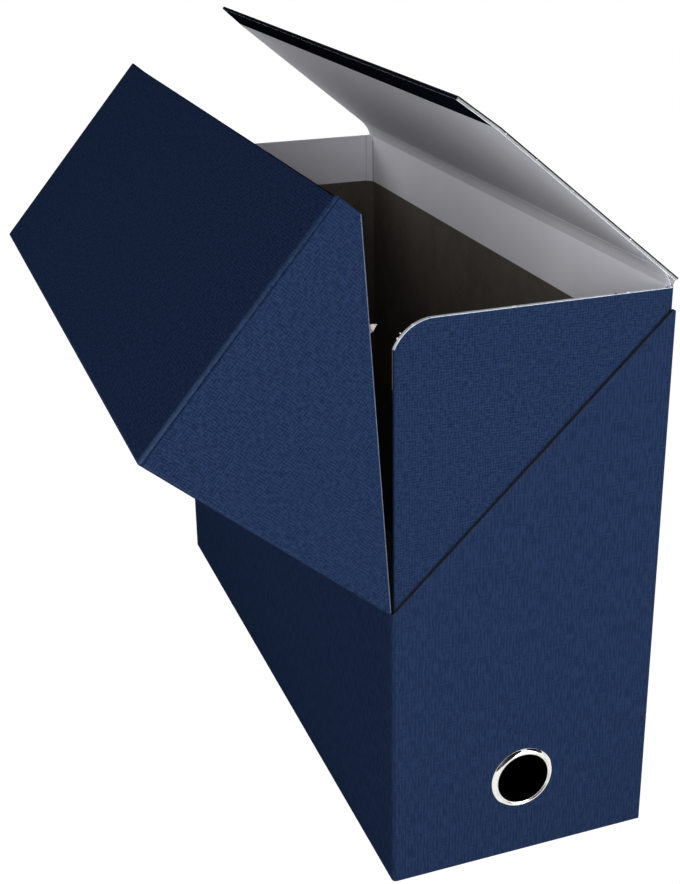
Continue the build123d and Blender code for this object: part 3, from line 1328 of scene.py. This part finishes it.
@dataclass
class DropFront:
    """The front that turns down: front, top and two cheeks folded from one sheet."""

    stock: Stock = STOCK
    right: float = 0.0574
    cheek_end: float = 0.2429
    edge_round: float = 0.0012
    crisp_fold: float = 0.0014
    # Strength of rubbing and painted highlight on the top's folds to the cheeks
    fold_rub_and_highlight: float = 0.62
    # How dark the painted shade is along the line pressed below the top's folds
    crease_shade_depth: float = 0.9
    groove_below_fold: float = 0.0005
    scuffed_width: float = 0.00030
    scuffs_end_before: float = 0.002
    edge_looks: float = 0.75

    def build(self) -> None:
        """Makes the drop front's paper and board."""
        for layer in (PAPER, CORE):
            self._wrap(layer)

    def _wrap(self, layer: Layer) -> None:
        """Makes one layer of the drop front.

        Args:
            layer: The paper or the board.
        """
        stock, depth = self.stock, layer.depth
        lowest = stock.drop_hinge_height + stock.crease_gap / 2
        low = (-stock.half_width + depth, -stock.half_length + depth, lowest)
        high = (self.right, stock.half_length - depth, stock.height - depth)
        sheet = Sheet.of_block(low, high, (RIGHT, DOWN))
        folds = [(LEFT, SPINE), (LEFT, TAIL), (LEFT, UP), (UP, SPINE), (UP, TAIL)]
        rub_and_highlight_share = [(UP + SPINE, self.fold_rub_and_highlight), (UP + TAIL, self.fold_rub_and_highlight)]
        radius = self.crisp_fold if layer is PAPER else stock.fold(depth)
        sheet.fold(folds, radius, rub_and_highlight=rub_and_highlight_share)
        run, rise = self.right + stock.half_width, self.cheek_end - lowest
        sheet.trim((-stock.half_width, 0.0, lowest), (rise, 0.0, -run))
        centre = (self.right - self.edge_round, stock.height - self.edge_round)
        sheet.round_corner(centre, self.edge_round, 90.0, 0.0, 5)
        sheet.support([-stock.half_width], stock.half_length)
        # A line of painted shade on the cheeks just below the top's folds
        crease_shade = (0.0, 0.0, stock.height - radius - self.groove_below_fold)
        for way in (SPINE, TAIL):
            sheet.press(crease_shade, UP, way, self.crease_shade_depth)
        if layer is PAPER:
            self._scuff_edges(sheet, lowest)
        else:
            sheet.score((self.right - self.edge_round, 0.0, 0.0), RIGHT)
        sheet.unfold(self._panels())
        sheet.thicken(layer.thickness)
        self._paint_shade_on_free_edge(sheet, layer)
        sheet.turn(stock.drop_hinge, -stock.drop_opening)
        solids = layer.solids(("drop_front", "drop_top", "drop_spine_cheek", "drop_tail_cheek"))
        if layer is PAPER:
            finishes = (NAVY_CROSSED, TORN, SCUFFED, NAVY_PAINTED_SHADE)
        else:
            finishes = (BOARD, DIM_CUT, BOARD, NAVY_PAINTED_SHADE)
        sheet.piece(f"drop_wrap_{layer.name}", Body.DROP_FRONT, layer.slot, finishes, solids)

    def _scuff_edges(self, sheet: Sheet, lowest: float) -> None:
        """Gives the cheeks' slanted edges a narrow scuffed strip.

        Args:
            sheet: The drop front's paper.
            lowest: Height of its lowest edge.
        """
        start, stop = lowest + self.scuffs_end_before, self.stock.height - self.scuffs_end_before
        right = self.right - self.scuffs_end_before
        sheet.border(
            self.scuffed_width, PICKED, lambda point: start < point.z < stop and point.x < right
        )

    def _paint_shade_on_free_edge(self, sheet: Sheet, layer: Layer) -> None:
        """Paints shade on the free edge of the top, in the near-black navy that also shades the lid's
        turn-in.

        Args:
            sheet: One layer of the drop front, with its thickness.
            layer: The paper or the board.
        """
        paper_ends = self.right - self.edge_round

        def at_the_edge(face: bmesh.types.BMFace) -> bool:
            """Whether a face looks outwards at the free edge, or is board that the paper leaves bare.

            Args:
                face: A face of the sheet.

            Returns:
                Whether it gets the painted shade.
            """
            middle = face.calc_center_median()
            bare = layer is CORE and middle.x > paper_ends
            return middle.z > self.cheek_end and (bare or looks(face, RIGHT, self.edge_looks))

        sheet.mesh.normal_update()
        sheet.paint(FREE_EDGE, at_the_edge)

    def _panels(self) -> list[Panel]:
        """Lays the drop front's panels on the flat sheet.

        Returns:
            The three upright walls that it has, and its top.
        """
        stock = self.stock
        top_left = Vector((-stock.half_width, -stock.half_length, stock.height))
        walls = upright_panels(stock.half_width, stock.half_length)
        return [*walls[:3], Panel(UP, SPINE, RIGHT, top_left, (0.0, stock.height))]


# The lid


@dataclass
class Lid:
    """The flat lid: a board, covered outside and lined inside, its cover turned in at the free edge."""

    stock: Stock = STOCK
    left: float = -0.05825
    right: float = 0.06005
    half_length: float = 0.1680
    corner_cut: float = 0.009
    corner_run: float = 0.017
    edge_fold: float = 0.00062
    turn_in: float = 0.015
    turn_in_back: float = 0.0008
    tone_change: float = 0.003
    threads_shift: float = -0.002
    lip: float = 0.00055
    lip_fold: float = 0.00025
    inset: float = 0.0004

    @property
    def thickness(self) -> float:
        """Thickness of the lid with its cover and its lining."""
        return self.stock.board + 2 * self.stock.paper

    def build(self) -> None:
        """Makes the lid's pieces."""
        self._cover()
        self._board()
        self._lining()

    def _taper_cut(self, side: float, inset: float) -> tuple[Vector, Vector]:
        """Where one of the two corners at the free edge is cut off.

        Args:
            side: -1 at the spine, 1 at the tail.
            inset: How far inside the lid's own outline the cut lies.

        Returns:
            A point of the cut and the direction of the side that goes.
        """
        point = Vector((self.left, side * (self.half_length - self.corner_cut), 0.0))
        way = Vector((-self.corner_cut, side * self.corner_run, 0.0)).normalized()
        return point - way * inset, way

    def _taper(self, sheet: Sheet, inset: float = 0.0) -> None:
        """Cuts off the two corners at the free edge.

        Args:
            sheet: The sheet to cut.
            inset: How far inside the lid's own outline the cuts lie.
        """
        for end in BOTH_ENDS:
            sheet.trim(*self._taper_cut(end, inset))

    def _cover(self) -> None:
        """Makes the navy cover, which laps over the ends and turns round the free edge."""
        stock = self.stock
        base = stock.lid_hinge_z
        top = base + self.thickness
        low = (self.left, -self.half_length, base)
        high = (self.right, self.half_length, top)
        sheet = Sheet.of_block(low, high, (RIGHT, SPINE, TAIL))
        sheet.fold([(UP, LEFT), (LEFT, DOWN)], self.edge_fold, 4)
        edge = self.left + self.turn_in
        sheet.score((edge, 0.0, 0.0), RIGHT)
        sheet.remove(lambda face: looks(face, DOWN) and face.calc_center_median().x > edge)
        self._taper(sheet)
        self._slant_turn_in(sheet)
        sheet.score((self.left + self.tone_change, 0.0, 0.0), RIGHT)

        def at_the_ends(rim: bmesh.types.BMEdge) -> bool:
            """Whether a cut edge of the outer face gets a lip."""
            level = all(vert.co.z > top - LEVEL for vert in rim.verts)
            return level and any(vert.co.x < self.right - LEVEL for vert in rim.verts)

        sheet.hem(at_the_ends, DOWN * self.lip, self.lip_fold)
        # The turn-in, the fold at the free edge and the lips get the near-black navy: painted shade
        sheet.paint(CUT_EDGE, lambda face: not looks(face, UP, 0.85))
        start = Vector((self.left, -self.half_length, base))
        shift = (0.0, self.threads_shift)
        sheet.unfold(
            [
                Panel(UP, TAIL, RIGHT, start),
                Panel(DOWN, TAIL, LEFT, start, shift),
                Panel(LEFT, TAIL, UP, start, shift),
            ]
        )
        sheet.thicken(stock.paper)
        sheet.turn(stock.lid_hinge, stock.lid_opening)
        finishes, solids = (NAVY_CROSSED, NAVY_PAINTED_SHADE), ("lid_cover", "lid_turn_in")
        sheet.piece("lid_cover_paper", Body.LID, Slot.NAVY_PAPER, finishes, solids)

    def _slant_turn_in(self, sheet: Sheet) -> None:
        """Cuts the turn-in's two ends back from the lid's slanted corners.

        Args:
            sheet: The cover.
        """
        for end in BOTH_ENDS:
            point, way = self._taper_cut(end, self.turn_in_back)

            def beyond(face: bmesh.types.BMFace) -> bool:
                """Whether a face of the turn-in lies past the cut."""
                return looks(face, DOWN) and (face.calc_center_median() - point).dot(way) > 0.0

            sheet.score(point, way)
            sheet.remove(beyond)

    def _flat(self, left: float, top: float, thickness: float) -> Sheet:
        """Makes a flat sheet with the lid's outline, a paper's thickness smaller.

        Args:
            left: X of its free edge.
            top: Height of its upper face while the lid is closed.
            thickness: Its thickness.

        Returns:
            The sheet, turned to its open pose.
        """
        stock = self.stock
        length = self.half_length - stock.paper
        low, high = (left, -length, top - self.half_length), (self.right, length, top)
        sheet = Sheet.of_block(low, high, (RIGHT, LEFT, SPINE, TAIL, DOWN))
        self._taper(sheet, stock.paper)
        sheet.unfold([Panel(UP, TAIL, RIGHT, Vector(low))])
        sheet.thicken(thickness)
        sheet.turn(stock.lid_hinge, stock.lid_opening)
        return sheet

    def _board(self) -> None:
        """Makes the lid's board with its cut edges."""
        stock = self.stock
        top = stock.lid_hinge_z + stock.paper + stock.board
        sheet = self._flat(self.left + stock.paper + self.inset, top, stock.board)
        sheet.piece("lid_board_sheet", Body.LID, Slot.RAW_BOARD, (BOARD, LID_CUT), ("lid_board",))

    def _lining(self) -> None:
        """Makes the white paper on the lid's underside."""
        top = self.stock.lid_hinge_z + self.stock.paper
        sheet = self._flat(self.left + self.inset, top, self.stock.lid_lining)
        sheet.piece("lid_lining_paper", Body.LID, Slot.WHITE_PAPER, (WHITE, WHITE), ("lid_liner",))


# The creases


@dataclass
class Creases:
    """The paper that bends at the lid's and the drop front's hinges."""

    stock: Stock = STOCK
    lining_half_length: float = 0.1682
    skin_foot: float = 0.2440
    lining_foot: float = 0.24800
    proud: float = 0.00005

    @property
    def skin_half_length(self) -> float:
        """Half the length of the outer skin, which ends where the wall's corners begin to turn."""
        return self.stock.wing_half_length - self.stock.fold(0.0)

    def build(self) -> None:
        """Makes the creases' pieces."""
        self._lid_skin()
        self._lid_lining()
        self._drop_skin()

    def _on_lid(self, back: float, over: float) -> tuple[float, float]:
        """X and Z of a point that lies on the open lid.

        Args:
            back: Distance from the lid's axis along its underside.
            over: Height over its underside.

        Returns:
            The two coordinates.
        """
        angle = math.radians(self.stock.lid_opening)
        x = self.stock.lid_hinge_x - back * math.cos(angle) + over * math.sin(angle)
        z = self.stock.lid_hinge_z + back * math.sin(angle) + over * math.cos(angle)
        return x, z

    def _lid_skin(self) -> None:
        """Makes the navy paper from the right wall to the lid's cover, which is white inside."""
        stock = self.stock
        wall = stock.half_width + self.proud
        cover = stock.board + 2 * stock.paper + self.proud
        line = [
            (wall, self.skin_foot),
            (wall, 0.2496),
            (wall + 0.00010, 0.25035),
            (wall + 0.00042, 0.25120),
            (wall + 0.00085, 0.25215),
            (wall + 0.00120, 0.25310),
            (wall + 0.00133, 0.25365),
            self._on_lid(0.0019, cover),
            self._on_lid(0.0024, cover),
            self._on_lid(0.0045, cover),
        ]
        sheet = Sheet.of_line(line, self.skin_half_length)
        start = Vector((wall, -self.skin_half_length, self.skin_foot))
        sheet.unfold([Panel(RIGHT, TAIL, UP, start)])
        sheet.thicken(stock.paper)
        sheet.paint(PICKED, lambda face: looks(face, LEFT, 0.3))
        # The skin's cut edges get the near-black navy: painted shade
        finishes, solids = (NAVY_CROSSED, NAVY_PAINTED_SHADE, WHITE), ("lid_crease",)
        made = sheet.piece("lid_crease_skin", None, Slot.NAVY_PAPER, finishes, solids, 60.0)
        self._bend(made, Body.LID, line[2], line[6])

    def _lid_lining(self) -> None:
        """Makes the white paper over the lid's crease, inside."""
        stock = self.stock
        face = stock.half_width - stock.wall - stock.paper - self.proud
        line = [
            self._on_lid(0.0110, self.proud),
            self._on_lid(0.0088, -self.proud),
            (face - 0.00140, 0.25410),
            (face, 0.25060),
            (face, self.lining_foot),
        ]
        sheet = Sheet.of_line(line, self.lining_half_length)
        start = Vector((face, -self.lining_half_length, self.lining_foot))
        sheet.unfold([Panel(RIGHT, TAIL, UP, start)])
        sheet.thicken(-stock.lid_lining)
        made = sheet.piece("lid_crease_lining", None, Slot.WHITE_PAPER, (WHITE, WHITE), (), 15.0)
        self._bend(made, Body.LID, line[3], line[1])

    def _drop_skin(self) -> None:
        """Makes the navy paper in the crease of the drop front."""
        stock = self.stock
        gap = stock.crease_gap / 2
        angle = math.radians(stock.drop_opening)
        x, z = -stock.half_width, stock.drop_hinge_height
        line = [
            (x - gap * math.sin(angle), z + gap * math.cos(angle)),
            (x - gap * 0.30, z + gap * 0.25),
            (x - gap * 0.06, z - gap * 0.3),
            (x, z - gap),
        ]
        sheet = Sheet.of_line(line, stock.half_length - stock.fold(0.0))
        sheet.unfold([Panel(LEFT, SPINE, UP, Vector((x, -stock.half_length, z)))])
        sheet.thicken(stock.paper)
        made = sheet.piece("drop_crease_skin", None, Slot.NAVY_PAPER, (NAVY, NAVY), (), 60.0)
        self._bend(made, Body.DROP_FRONT, line[-1], line[0])

    @staticmethod
    def _bend(
        piece: bpy.types.Object, body: Body, start: tuple[float, float], end: tuple[float, float]
    ) -> None:
        """Bakes the piece's placement into its mesh.

        Args:
            piece: The piece.
            body: The part that it ends on; not used.
            start: X and Z up to which it stays on the case; not used.
            end: X and Z from which it follows the part; not used.
        """
        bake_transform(piece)


# Marks of use


@dataclass
class Frays:
    """Small tufts of fibre where cut edges have been knocked.

    The drop front and the lid are closed where their tufts are placed. A tuft on the wing or the cheek
    is written as X, Z and size, and one on the lid as distance from its axis, height over its underside
    and size.
    """

    stock: Stock = STOCK
    wing_tufts: Sequence[Point] = (
        (-0.0093, 0.25065, 0.00044),
        (-0.0104, 0.25060, 0.00030),
        (0.0391, 0.25065, 0.00040),
        (-0.0556, 0.24575, 0.00042),
        (-0.0566, 0.24370, 0.00040),
        (-0.0508, 0.24850, 0.00042),
    )
    wing_nick: Point = (0.0340, -0.1676, 0.25075)
    nick_size: float = 0.00040
    lid_tufts: Sequence[Point] = (
        (0.1000, 0.0009, 0.00030),
        (0.0838, 0.0009, 0.00042),
        (0.0634, 0.0009, 0.00036),
        (0.0305, 0.0009, 0.00034),
    )
    crease_tuft: Point = (0.0022, 0.0002, 0.00040)
    cheek_tufts: Sequence[Point] = ((-0.0245, 0.1636, 0.00036), (-0.0400, 0.1486, 0.00030))
    flake: Sequence[tuple[float, float]] = (
        (0.0250, 0.2118),
        (0.0266, 0.2110),
        (0.0296, 0.2116),
        (0.0288, 0.2128),
        (0.0276, 0.2143),
    )
    tuft_sides: int = 7
    tuft_tip: float = 0.35
    tuft_height: float = 0.7
    tuft_crumple: float = 0.38
    flake_thickness: float = 0.00035
    flake_curl: float = 0.0002
    wing_depth: float = 0.0006
    cheek_depth: float = 0.0009
    lid_half_length: float = 0.1680
    crease_half_length: float = 0.1679

    def build(self) -> None:
        """Makes the tufts on the wing, the lid and the drop front."""
        self._on_wing()
        self._on_lid()
        self._on_cheek()

    def _tuft(self, sheet: Sheet, place: Point, size: float, turn: float) -> None:
        """Adds a crumpled fleck of fibre.

        Args:
            sheet: The sheet that collects the flecks.
            place: The fleck's middle.
            size: Its radius.
            turn: Its turn about all axes, in radians, which also varies its outline.
        """
        way = Matrix.Rotation(turn, 4, "Y") @ Matrix.Rotation(turn * 1.7, 4, "X")
        made = bmesh.ops.create_cone(
            sheet.mesh,
            cap_ends=True,
            cap_tris=True,
            segments=self.tuft_sides,
            radius1=size,
            radius2=size * self.tuft_tip,
            depth=size * self.tuft_height,
            matrix=Matrix.Translation(place) @ way,
        )
        for number, vert in enumerate(made["verts"]):
            swing = turn * 3.0 + number * 2.4
            shift = Vector((math.sin(swing), math.cos(swing * 1.3), math.sin(swing * 0.7)))
            vert.co += shift * size * self.tuft_crumple

    def _on_wing(self) -> None:
        """Makes the tufts on the spine wing's edge."""
        face = -self.stock.wing_half_length + self.wing_depth
        sheet = Sheet()
        for number, (x, z, size) in enumerate(self.wing_tufts):
            self._tuft(sheet, (x, face, z), size, 0.7 + number)
        sheet.piece("wing_edge_tufts", Body.CASE, Slot.RAW_BOARD, (CUT,))
        nick = Sheet()
        self._tuft(nick, self.wing_nick, self.nick_size, 0.3)
        # The nick gets the near-black navy: painted shade
        nick.piece("wing_edge_nick", Body.CASE, Slot.NAVY_PAPER, (NAVY_PAINTED_SHADE,))

    def _on_lid(self) -> None:
        """Makes the tufts on the lid's cut edge at the spine."""
        stock = self.stock
        sheet = Sheet()
        for number, (back, over, size) in enumerate(self.lid_tufts):
            place = (stock.lid_hinge_x - back, -self.lid_half_length, stock.lid_hinge_z + over)
            self._tuft(sheet, place, size, 1.1 + number)
        back, over, size = self.crease_tuft
        place = (stock.lid_hinge_x - back, -self.crease_half_length, stock.lid_hinge_z + over)
        self._tuft(sheet, place, size, 2.2)
        sheet.turn(stock.lid_hinge, stock.lid_opening)
        sheet.piece("lid_edge_tufts", Body.LID, Slot.RAW_BOARD, (CUT,))

    def _on_cheek(self) -> None:
        """Makes the torn flake and two tufts on the spine cheek's slanted edge."""
        stock = self.stock
        face = -stock.half_length + self.cheek_depth
        sheet = Sheet()
        for number, (x, z, size) in enumerate(self.cheek_tufts):
            self._tuft(sheet, (x, face, z), size, 0.9 + number)
        corners = []
        for number, (x, z) in enumerate(self.flake):
            corners.append(sheet.mesh.verts.new((x, face + self.flake_curl * (number % 2), z)))
        flake = sheet.mesh.faces.new(corners)
        bmesh.ops.solidify(sheet.mesh, geom=[flake], thickness=self.flake_thickness)
        bmesh.ops.recalc_face_normals(sheet.mesh, faces=sheet.mesh.faces[:])
        sheet.turn(stock.drop_hinge, -stock.drop_opening)
        sheet.piece("cheek_edge_tufts", Body.DROP_FRONT, Slot.RAW_BOARD, (FLAKE,))


# The finger ring


@dataclass
class FingerRing:
    """The plated ring in the spine, clinched on a flat ring behind both panels."""

    stock: Stock = STOCK
    bore: float = 0.01185
    outer: float = 0.0145
    crown: float = 0.0014
    edge: float = 0.00030
    shoulder: float = 0.00112
    lip: float = 0.00060
    dip: float = 0.00095
    barrel: float = 0.0006
    back_sheet: float = 0.0005
    glue_line: float = 0.00015
    steps: int = 96

    def build(self) -> None:
        """Makes the ring and the ring behind it."""
        grip = 2 * self.stock.wall + self.glue_line
        back = -grip - self.back_sheet
        barrel = self.bore + self.barrel
        rim = self.bore + self.lip
        eyelet = [
            (self.outer, 0.0),
            (self.outer, self.edge),
            ((self.outer + rim) / 2, self.shoulder),
            (rim + 0.00010, self.crown),
            (rim, self.dip),
            (self.bore, self.dip + 0.00010),
            (self.bore, back),
            (barrel, back),
            (barrel, 0.0),
        ]
        rounds = {1: 0.00018, 2: 0.00060, 3: 0.00022, 4: 0.00005, 5: 0.00020}
        self._turned("finger_ring_front", eyelet, rounds, "finger_ring")
        washer = [
            (self.outer, -grip),
            (self.outer, back),
            (barrel + 0.00005, back),
            (barrel + 0.00005, -grip),
        ]
        self._turned("finger_ring_rear", washer, {1: 0.0002, 2: 0.0002}, "finger_ring_back")

    def _turned(
        self, name: str, outline: Sequence[tuple[float, float]], rounds: dict[int, float], solid: str
    ) -> None:
        """Turns an outline about the ring's axis.

        Args:
            name: The piece's name.
            outline: Radius and height over the spine's face of each corner.
            rounds: Rounding of numbered corners.
            solid: The solid that it replaces.
        """
        work = bmesh.new()
        level, height = -self.stock.half_length, self.stock.ring_height
        corners = [work.verts.new((radius, level - rise, height)) for radius, rise in outline]
        work.faces.new(corners)
        for number, size in rounds.items():
            rounded(work, [corners[number]], size, 10, corners=True)
        edges = work.edges[:]
        bmesh.ops.delete(work, geom=work.faces[:], context="FACES_ONLY")
        bmesh.ops.spin(
            work,
            geom=[*work.verts, *edges],
            cent=(0.0, level, height),
            axis=(0.0, 1.0, 0.0),
            angle=math.tau,
            steps=self.steps,
            use_merge=True,
        )
        bmesh.ops.remove_doubles(work, verts=work.verts[:], dist=WELD)
        bmesh.ops.recalc_face_normals(work, faces=work.faces[:])
        hand_over(work, name, Body.CASE, (PLATED,), (solid,), 40.0)


# The studio


@dataclass
class Studio:
    """A pale floor, soft lamps, a white background and the camera."""

    camera_place: Point = (-0.23971, -0.63245, 0.41428)
    aim: Point = (-20.862, 21.68, -0.275)
    lens: float = 58.593
    film_width: float = 36.0
    shift: tuple[float, float] = (-0.04818, -0.03633)
    lamps_aim: Point = (0.0, 0.0, 0.13)
    lamp_colour: Point = (0.98, 0.98, 1.0)
    fill: float = 0.075
    fill_colour: Colour = (0.80, 0.92, 1.0, 1.0)
    white: Colour = (1.0, 1.0, 1.0, 1.0)
    floor_pale: Colour = (0.86, 0.86, 0.87, 1.0)
    floor_dark: Colour = (0.82, 0.82, 0.83, 1.0)
    floor_glow: float = 1.16
    floor_glow_share: float = 0.86
    card_colour: Colour = (0.01, 0.01, 0.012, 1.0)

    def build(self) -> None:
        """Sets up the studio."""
        self._world()
        self._floor()
        self._lamp("front_right_lamp", (0.50, -1.20, 0.10), 0.7, 21.0)
        self._lamp("front_left_lamp", (-0.75, -1.05, 0.55), 0.7, 8.6)
        self._lamp("left_lamp", (-1.20, -0.10, 0.45), 0.9, 0.9)
        self._lamp("back_left_lamp", (-0.90, 0.90, 0.80), 0.8, 4.7)
        self._dark_card("dark_card_left", (-0.36, -0.90, 0.50), 0.76)
        self._dark_card("dark_card_right", (0.69, -0.64, 0.39), 0.34)
        self._camera()

    def _world(self) -> None:
        """Lights from all round, and shows white behind the box."""
        world = bpy.data.worlds.new("soft_studio")
        bpy.context.scene.world = world
        world.use_nodes = True
        bench = Bench(world.node_tree)
        seen = self._seen(bench)
        tone = {"Color": self.fill_colour, "Strength": self.fill}
        soft = bench.node("ShaderNodeBackground", {}, tone)
        white = bench.node("ShaderNodeBackground", {}, {"Color": self.white, "Strength": 1.0})
        mixed = bench.node("ShaderNodeMixShader", {}, {0: seen, 1: soft, 2: white})
        bench.node("ShaderNodeOutputWorld", {}, {"Surface": mixed})

    @staticmethod
    def _seen(bench: Bench) -> Wire:
        """One where the camera looks straight, in a mirror or through glass.

        Args:
            bench: The bench to work on.

        Returns:
            The share of the white that is seen.
        """
        camera = bench.node("ShaderNodeLightPath", {}, {}, "Is Camera Ray")
        glossy = bench.node("ShaderNodeLightPath", {}, {}, "Is Glossy Ray")
        through = bench.node("ShaderNodeLightPath", {}, {}, "Is Transmission Ray")
        return camera.largest(glossy).largest(through)

    @staticmethod
    def _disc(name: str, finish: str, radius: float, steps: int) -> tuple[bpy.types.Object, Bench]:
        """Makes a round flat piece of the studio.

        Args:
            name: Its name.
            finish: The name of its material.
            radius: Its radius.
            steps: Number of its edges.

        Returns:
            The piece and its material's empty bench.
        """
        work = bmesh.new()
        bmesh.ops.create_circle(work, cap_ends=True, segments=steps, radius=radius)
        mesh = bpy.data.meshes.new(name)
        work.to_mesh(mesh)
        work.free()
        disc = bpy.data.objects.new(name, mesh)
        bpy.context.scene.collection.objects.link(disc)
        material = bpy.data.materials.new(finish)
        material.use_nodes = True
        mesh.materials.append(material)
        return disc, Bench(material.node_tree)

    def _floor(self) -> None:
        """Lays the pale floor, which keeps the box's shadow."""
        floor, bench = self._disc("floor", "pale_floor", 6.0, 64)
        grain = bench.grain(bench.place(), 40.0, 3.0, 0.6)
        tone = bench.blend(grain * 0.3, self.floor_pale, self.floor_dark)
        matt = bench.node("ShaderNodeBsdfDiffuse", {}, {"Color": tone})
        light = {"Color": self.white, "Strength": self.floor_glow}
        glow = bench.node("ShaderNodeEmission", {}, light)
        share = self._seen(bench) * self.floor_glow_share
        mixed = bench.node("ShaderNodeMixShader", {}, {0: share, 1: matt, 2: glow})
        bench.node("ShaderNodeOutputMaterial", {}, {"Surface": mixed})

    def _dark_card(self, name: str, place: Point, radius: float) -> None:
        """Stands a dark round card, which only bright metal mirrors, facing the finger ring.

        Args:
            name: The card's name.
            place: Where it stands.
            radius: Its radius.
        """
        card, bench = self._disc(name, name, radius, 48)
        card.location = place
        ring = Vector((0.0, -STOCK.half_length, STOCK.ring_height))
        card.rotation_euler = (ring - Vector(place)).to_track_quat("-Z", "Y").to_euler()
        card.visible_camera = False
        card.visible_diffuse = False
        card.visible_transmission = False
        card.visible_shadow = False
        matt = bench.node("ShaderNodeBsdfDiffuse", {}, {"Color": self.card_colour})
        bench.node("ShaderNodeOutputMaterial", {}, {"Surface": matt})

    def _lamp(self, name: str, place: Point, size: float, power: float) -> None:
        """Hangs a soft lamp that looks at the box.

        Args:
            name: The lamp's name.
            place: Where it hangs.
            size: Its side.
            power: Its power in watts.
        """
        light = bpy.data.lights.new(name, "AREA")
        light.shape = "SQUARE"
        light.size = size
        light.energy = power
        light.color = self.lamp_colour
        lamp = bpy.data.objects.new(name, light)
        bpy.context.scene.collection.objects.link(lamp)
        lamp.location = place
        way = Vector(self.lamps_aim) - Vector(place)
        lamp.rotation_euler = way.to_track_quat("-Z", "Y").to_euler()

    def _camera(self) -> None:
        """Sets the camera where the photograph was taken."""
        azimuth, elevation, roll = (math.radians(value) for value in self.aim)
        back = Vector(
            (
                math.sin(azimuth) * math.cos(elevation),
                -math.cos(azimuth) * math.cos(elevation),
                math.sin(elevation),
            )
        )
        level = UP.cross(back).normalized()
        rise = back.cross(level)
        right = level * math.cos(roll) + rise * math.sin(roll)
        up = rise * math.cos(roll) - level * math.sin(roll)
        data = bpy.data.cameras.new("camera")
        data.lens = self.lens
        data.sensor_width = self.film_width
        data.shift_x, data.shift_y = self.shift
        data.dof.use_dof = False
        camera = bpy.data.objects.new("camera", data)
        bpy.context.scene.collection.objects.link(camera)
        turn = Matrix((right, up, back)).transposed().to_4x4()
        camera.matrix_world = Matrix.Translation(self.camera_place) @ turn
        bpy.context.scene.camera = camera


def main() -> None:
    """Builds the box and the studio."""
    bpy.context.scene.view_settings.view_transform = "Standard"
    for assembly in (Case(), DropFront(), Lid(), Creases(), Frays(), FingerRing(), Studio()):
        log.info("%s", type(assembly).__name__)
        assembly.build()


if __name__ == "__main__":
    main()
